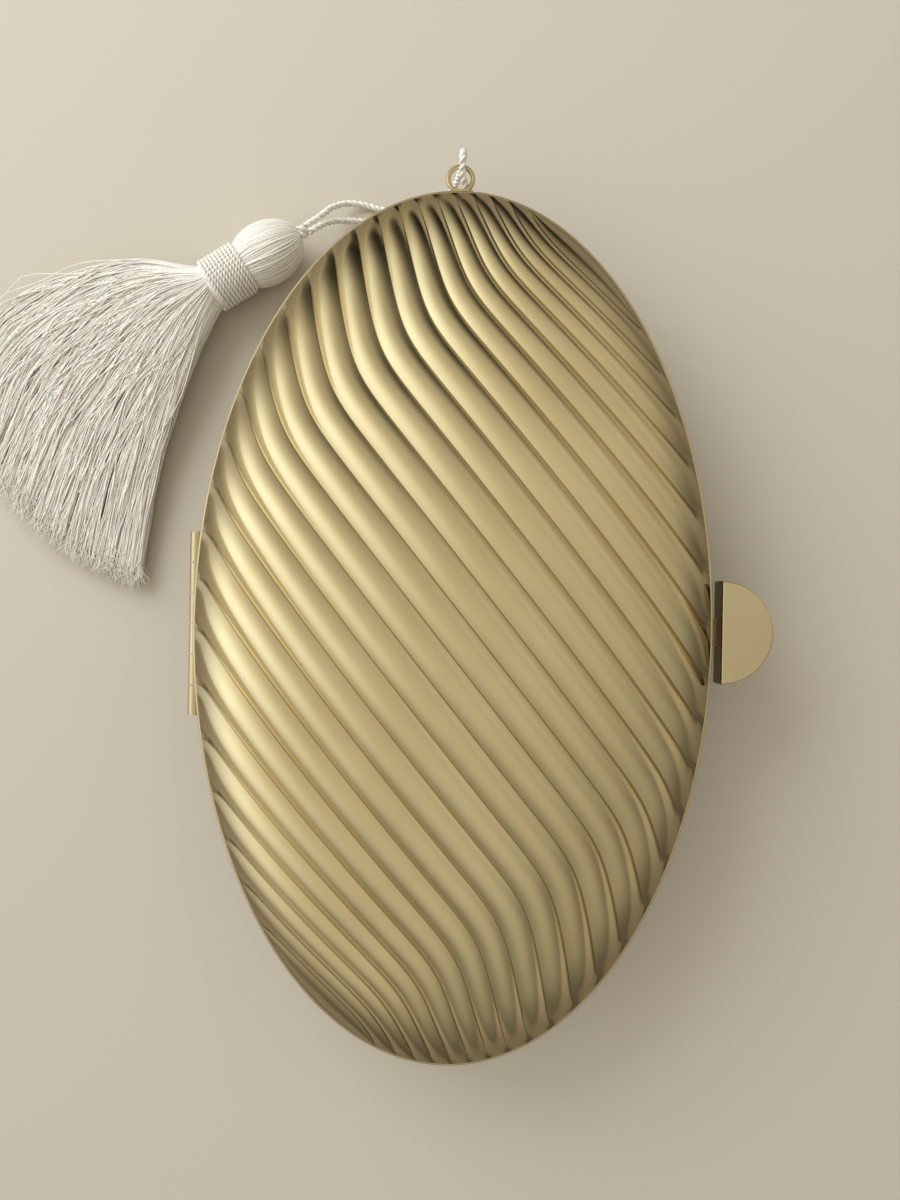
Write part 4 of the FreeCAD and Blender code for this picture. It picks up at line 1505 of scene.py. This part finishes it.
@dataclass
class Studio:
    """Pale table, soft light from the left and a camera straight above."""

    table_size: float = 3.0
    table_cells: int = 2
    focal_px: float = 960.0
    image_height_px: float = 1200.0
    sensor: float = 36.0
    nearest: float = 0.01
    eye: Point = (-0.00070, 0.00579, 0.2225)
    roll: float = math.radians(1.0)
    warm: Colour = (1.0, 0.955, 0.86)
    cool: Colour = (0.93, 1.0, 1.10)
    overhead_span: Span = (0.0, 1.1)
    overhead_light: Span = (0.25, 0.7)
    window_light: float = 1.3
    window_power: float = 3.6
    window_aim: Point = (-0.95, 0.2, 0.22)
    fill_light: float = 0.24
    fill_aim: Point = (0.86, 0.45, 0.25)
    fill_span: Span = (0.75, 1.0)
    far_share: float = 0.05
    far_aim: Point = (0.2, 0.95, -0.25)
    far_span: Span = (0.6, 0.98)
    lamp_place: Point = (-0.37, 0.4, 0.34)
    lamp_size: float = 0.45
    lamp_watts: float = 2.5
    lamp_colour: Colour = (0.93, 0.99, 1.04)

    def build_table(self, finishes: Finishes) -> None:
        """Lay the table top.

        Args:
            finishes: The case's finishes.
        """
        bm = bmesh.new()
        bmesh.ops.create_grid(bm, x_segments=self.table_cells, y_segments=self.table_cells,
                              size=self.table_size / 2)
        mesh = made_mesh(bm, "table_top")
        mesh.materials.append(finishes.table)
        table = bpy.data.objects.new(mesh.name, mesh)
        bpy.context.scene.collection.objects.link(table)

    def build_lamp(self) -> None:
        """Hang a square soft light that faces the case and doesn't mirror in the brass."""
        data = bpy.data.lights.new("window", "AREA")
        data.size = self.lamp_size
        data.energy = self.lamp_watts
        data.color = self.lamp_colour
        lamp = bpy.data.objects.new("window", data)
        lamp.location = self.lamp_place
        lamp.rotation_euler = (-Vector(self.lamp_place)).to_track_quat("-Z", "Y").to_euler()
        lamp.visible_glossy = False
        bpy.context.scene.collection.objects.link(lamp)

    def build_room(self) -> None:
        """Fill the room with soft light: a cool window to the left, a weak fill, dark beyond the far end."""
        board = NodeBoard(bpy.data.worlds.new("room"), "Background")
        bpy.context.scene.world = board.owner
        around = board.add("ShaderNodeTexCoord").outputs["Generated"]
        upward = board.facing(around, (0.0, 0.0, 1.0))
        overhead = board.spread(upward, self.overhead_span, self.overhead_light)
        leftward = board.combine("MAXIMUM", board.facing(around, self.window_aim), 0.0)
        window = board.combine("POWER", leftward, self.window_power)
        fill = board.spread(board.facing(around, self.fill_aim), self.fill_span, (0.0, self.fill_light))
        far = board.spread(board.facing(around, self.far_aim), self.far_span, (1.0, self.far_share))
        light = board.combine("ADD", overhead, board.combine("MULTIPLY", window, self.window_light))
        light = board.combine("MULTIPLY", board.combine("ADD", light, fill), far)
        board.feed(board.shader, {"Color": board.mix(window, self.warm, self.cool), "Strength": light})

    def build_camera(self) -> None:
        """Set the camera straight above the case."""
        data = bpy.data.cameras.new("camera")
        data.sensor_fit = "VERTICAL"
        data.sensor_height = self.sensor
        data.lens = self.sensor * self.focal_px / self.image_height_px
        data.clip_start = self.nearest
        camera = bpy.data.objects.new("camera", data)
        camera.location = self.eye
        camera.rotation_euler = (0.0, 0.0, self.roll)
        bpy.context.scene.collection.objects.link(camera)
        bpy.context.scene.camera = camera

    def build(self, finishes: Finishes) -> None:
        """Set up table, light and camera.

        Args:
            finishes: The case's finishes.
        """
        self.build_camera()
        self.build_table(finishes)
        self.build_room()
        self.build_lamp()
        bpy.context.scene.view_settings.view_transform = "Standard"


def main() -> None:
    """Build the studio and every piece of the case, in order."""
    logging.basicConfig(level=logging.INFO, format="%(name)s: %(message)s")
    finishes = Finishes()
    Studio().build(finishes)
    TasselCord().build(finishes)
    for half in Half:
        FlutedShell(half).build(finishes)
        Lining(half).build(finishes)
    Metalwork().build(finishes)
    for piece in (TasselKnot(), TasselHead(), TasselNeck(), TasselSkirt()):
        piece.build(finishes)


if __name__ == "__main__":
    main()
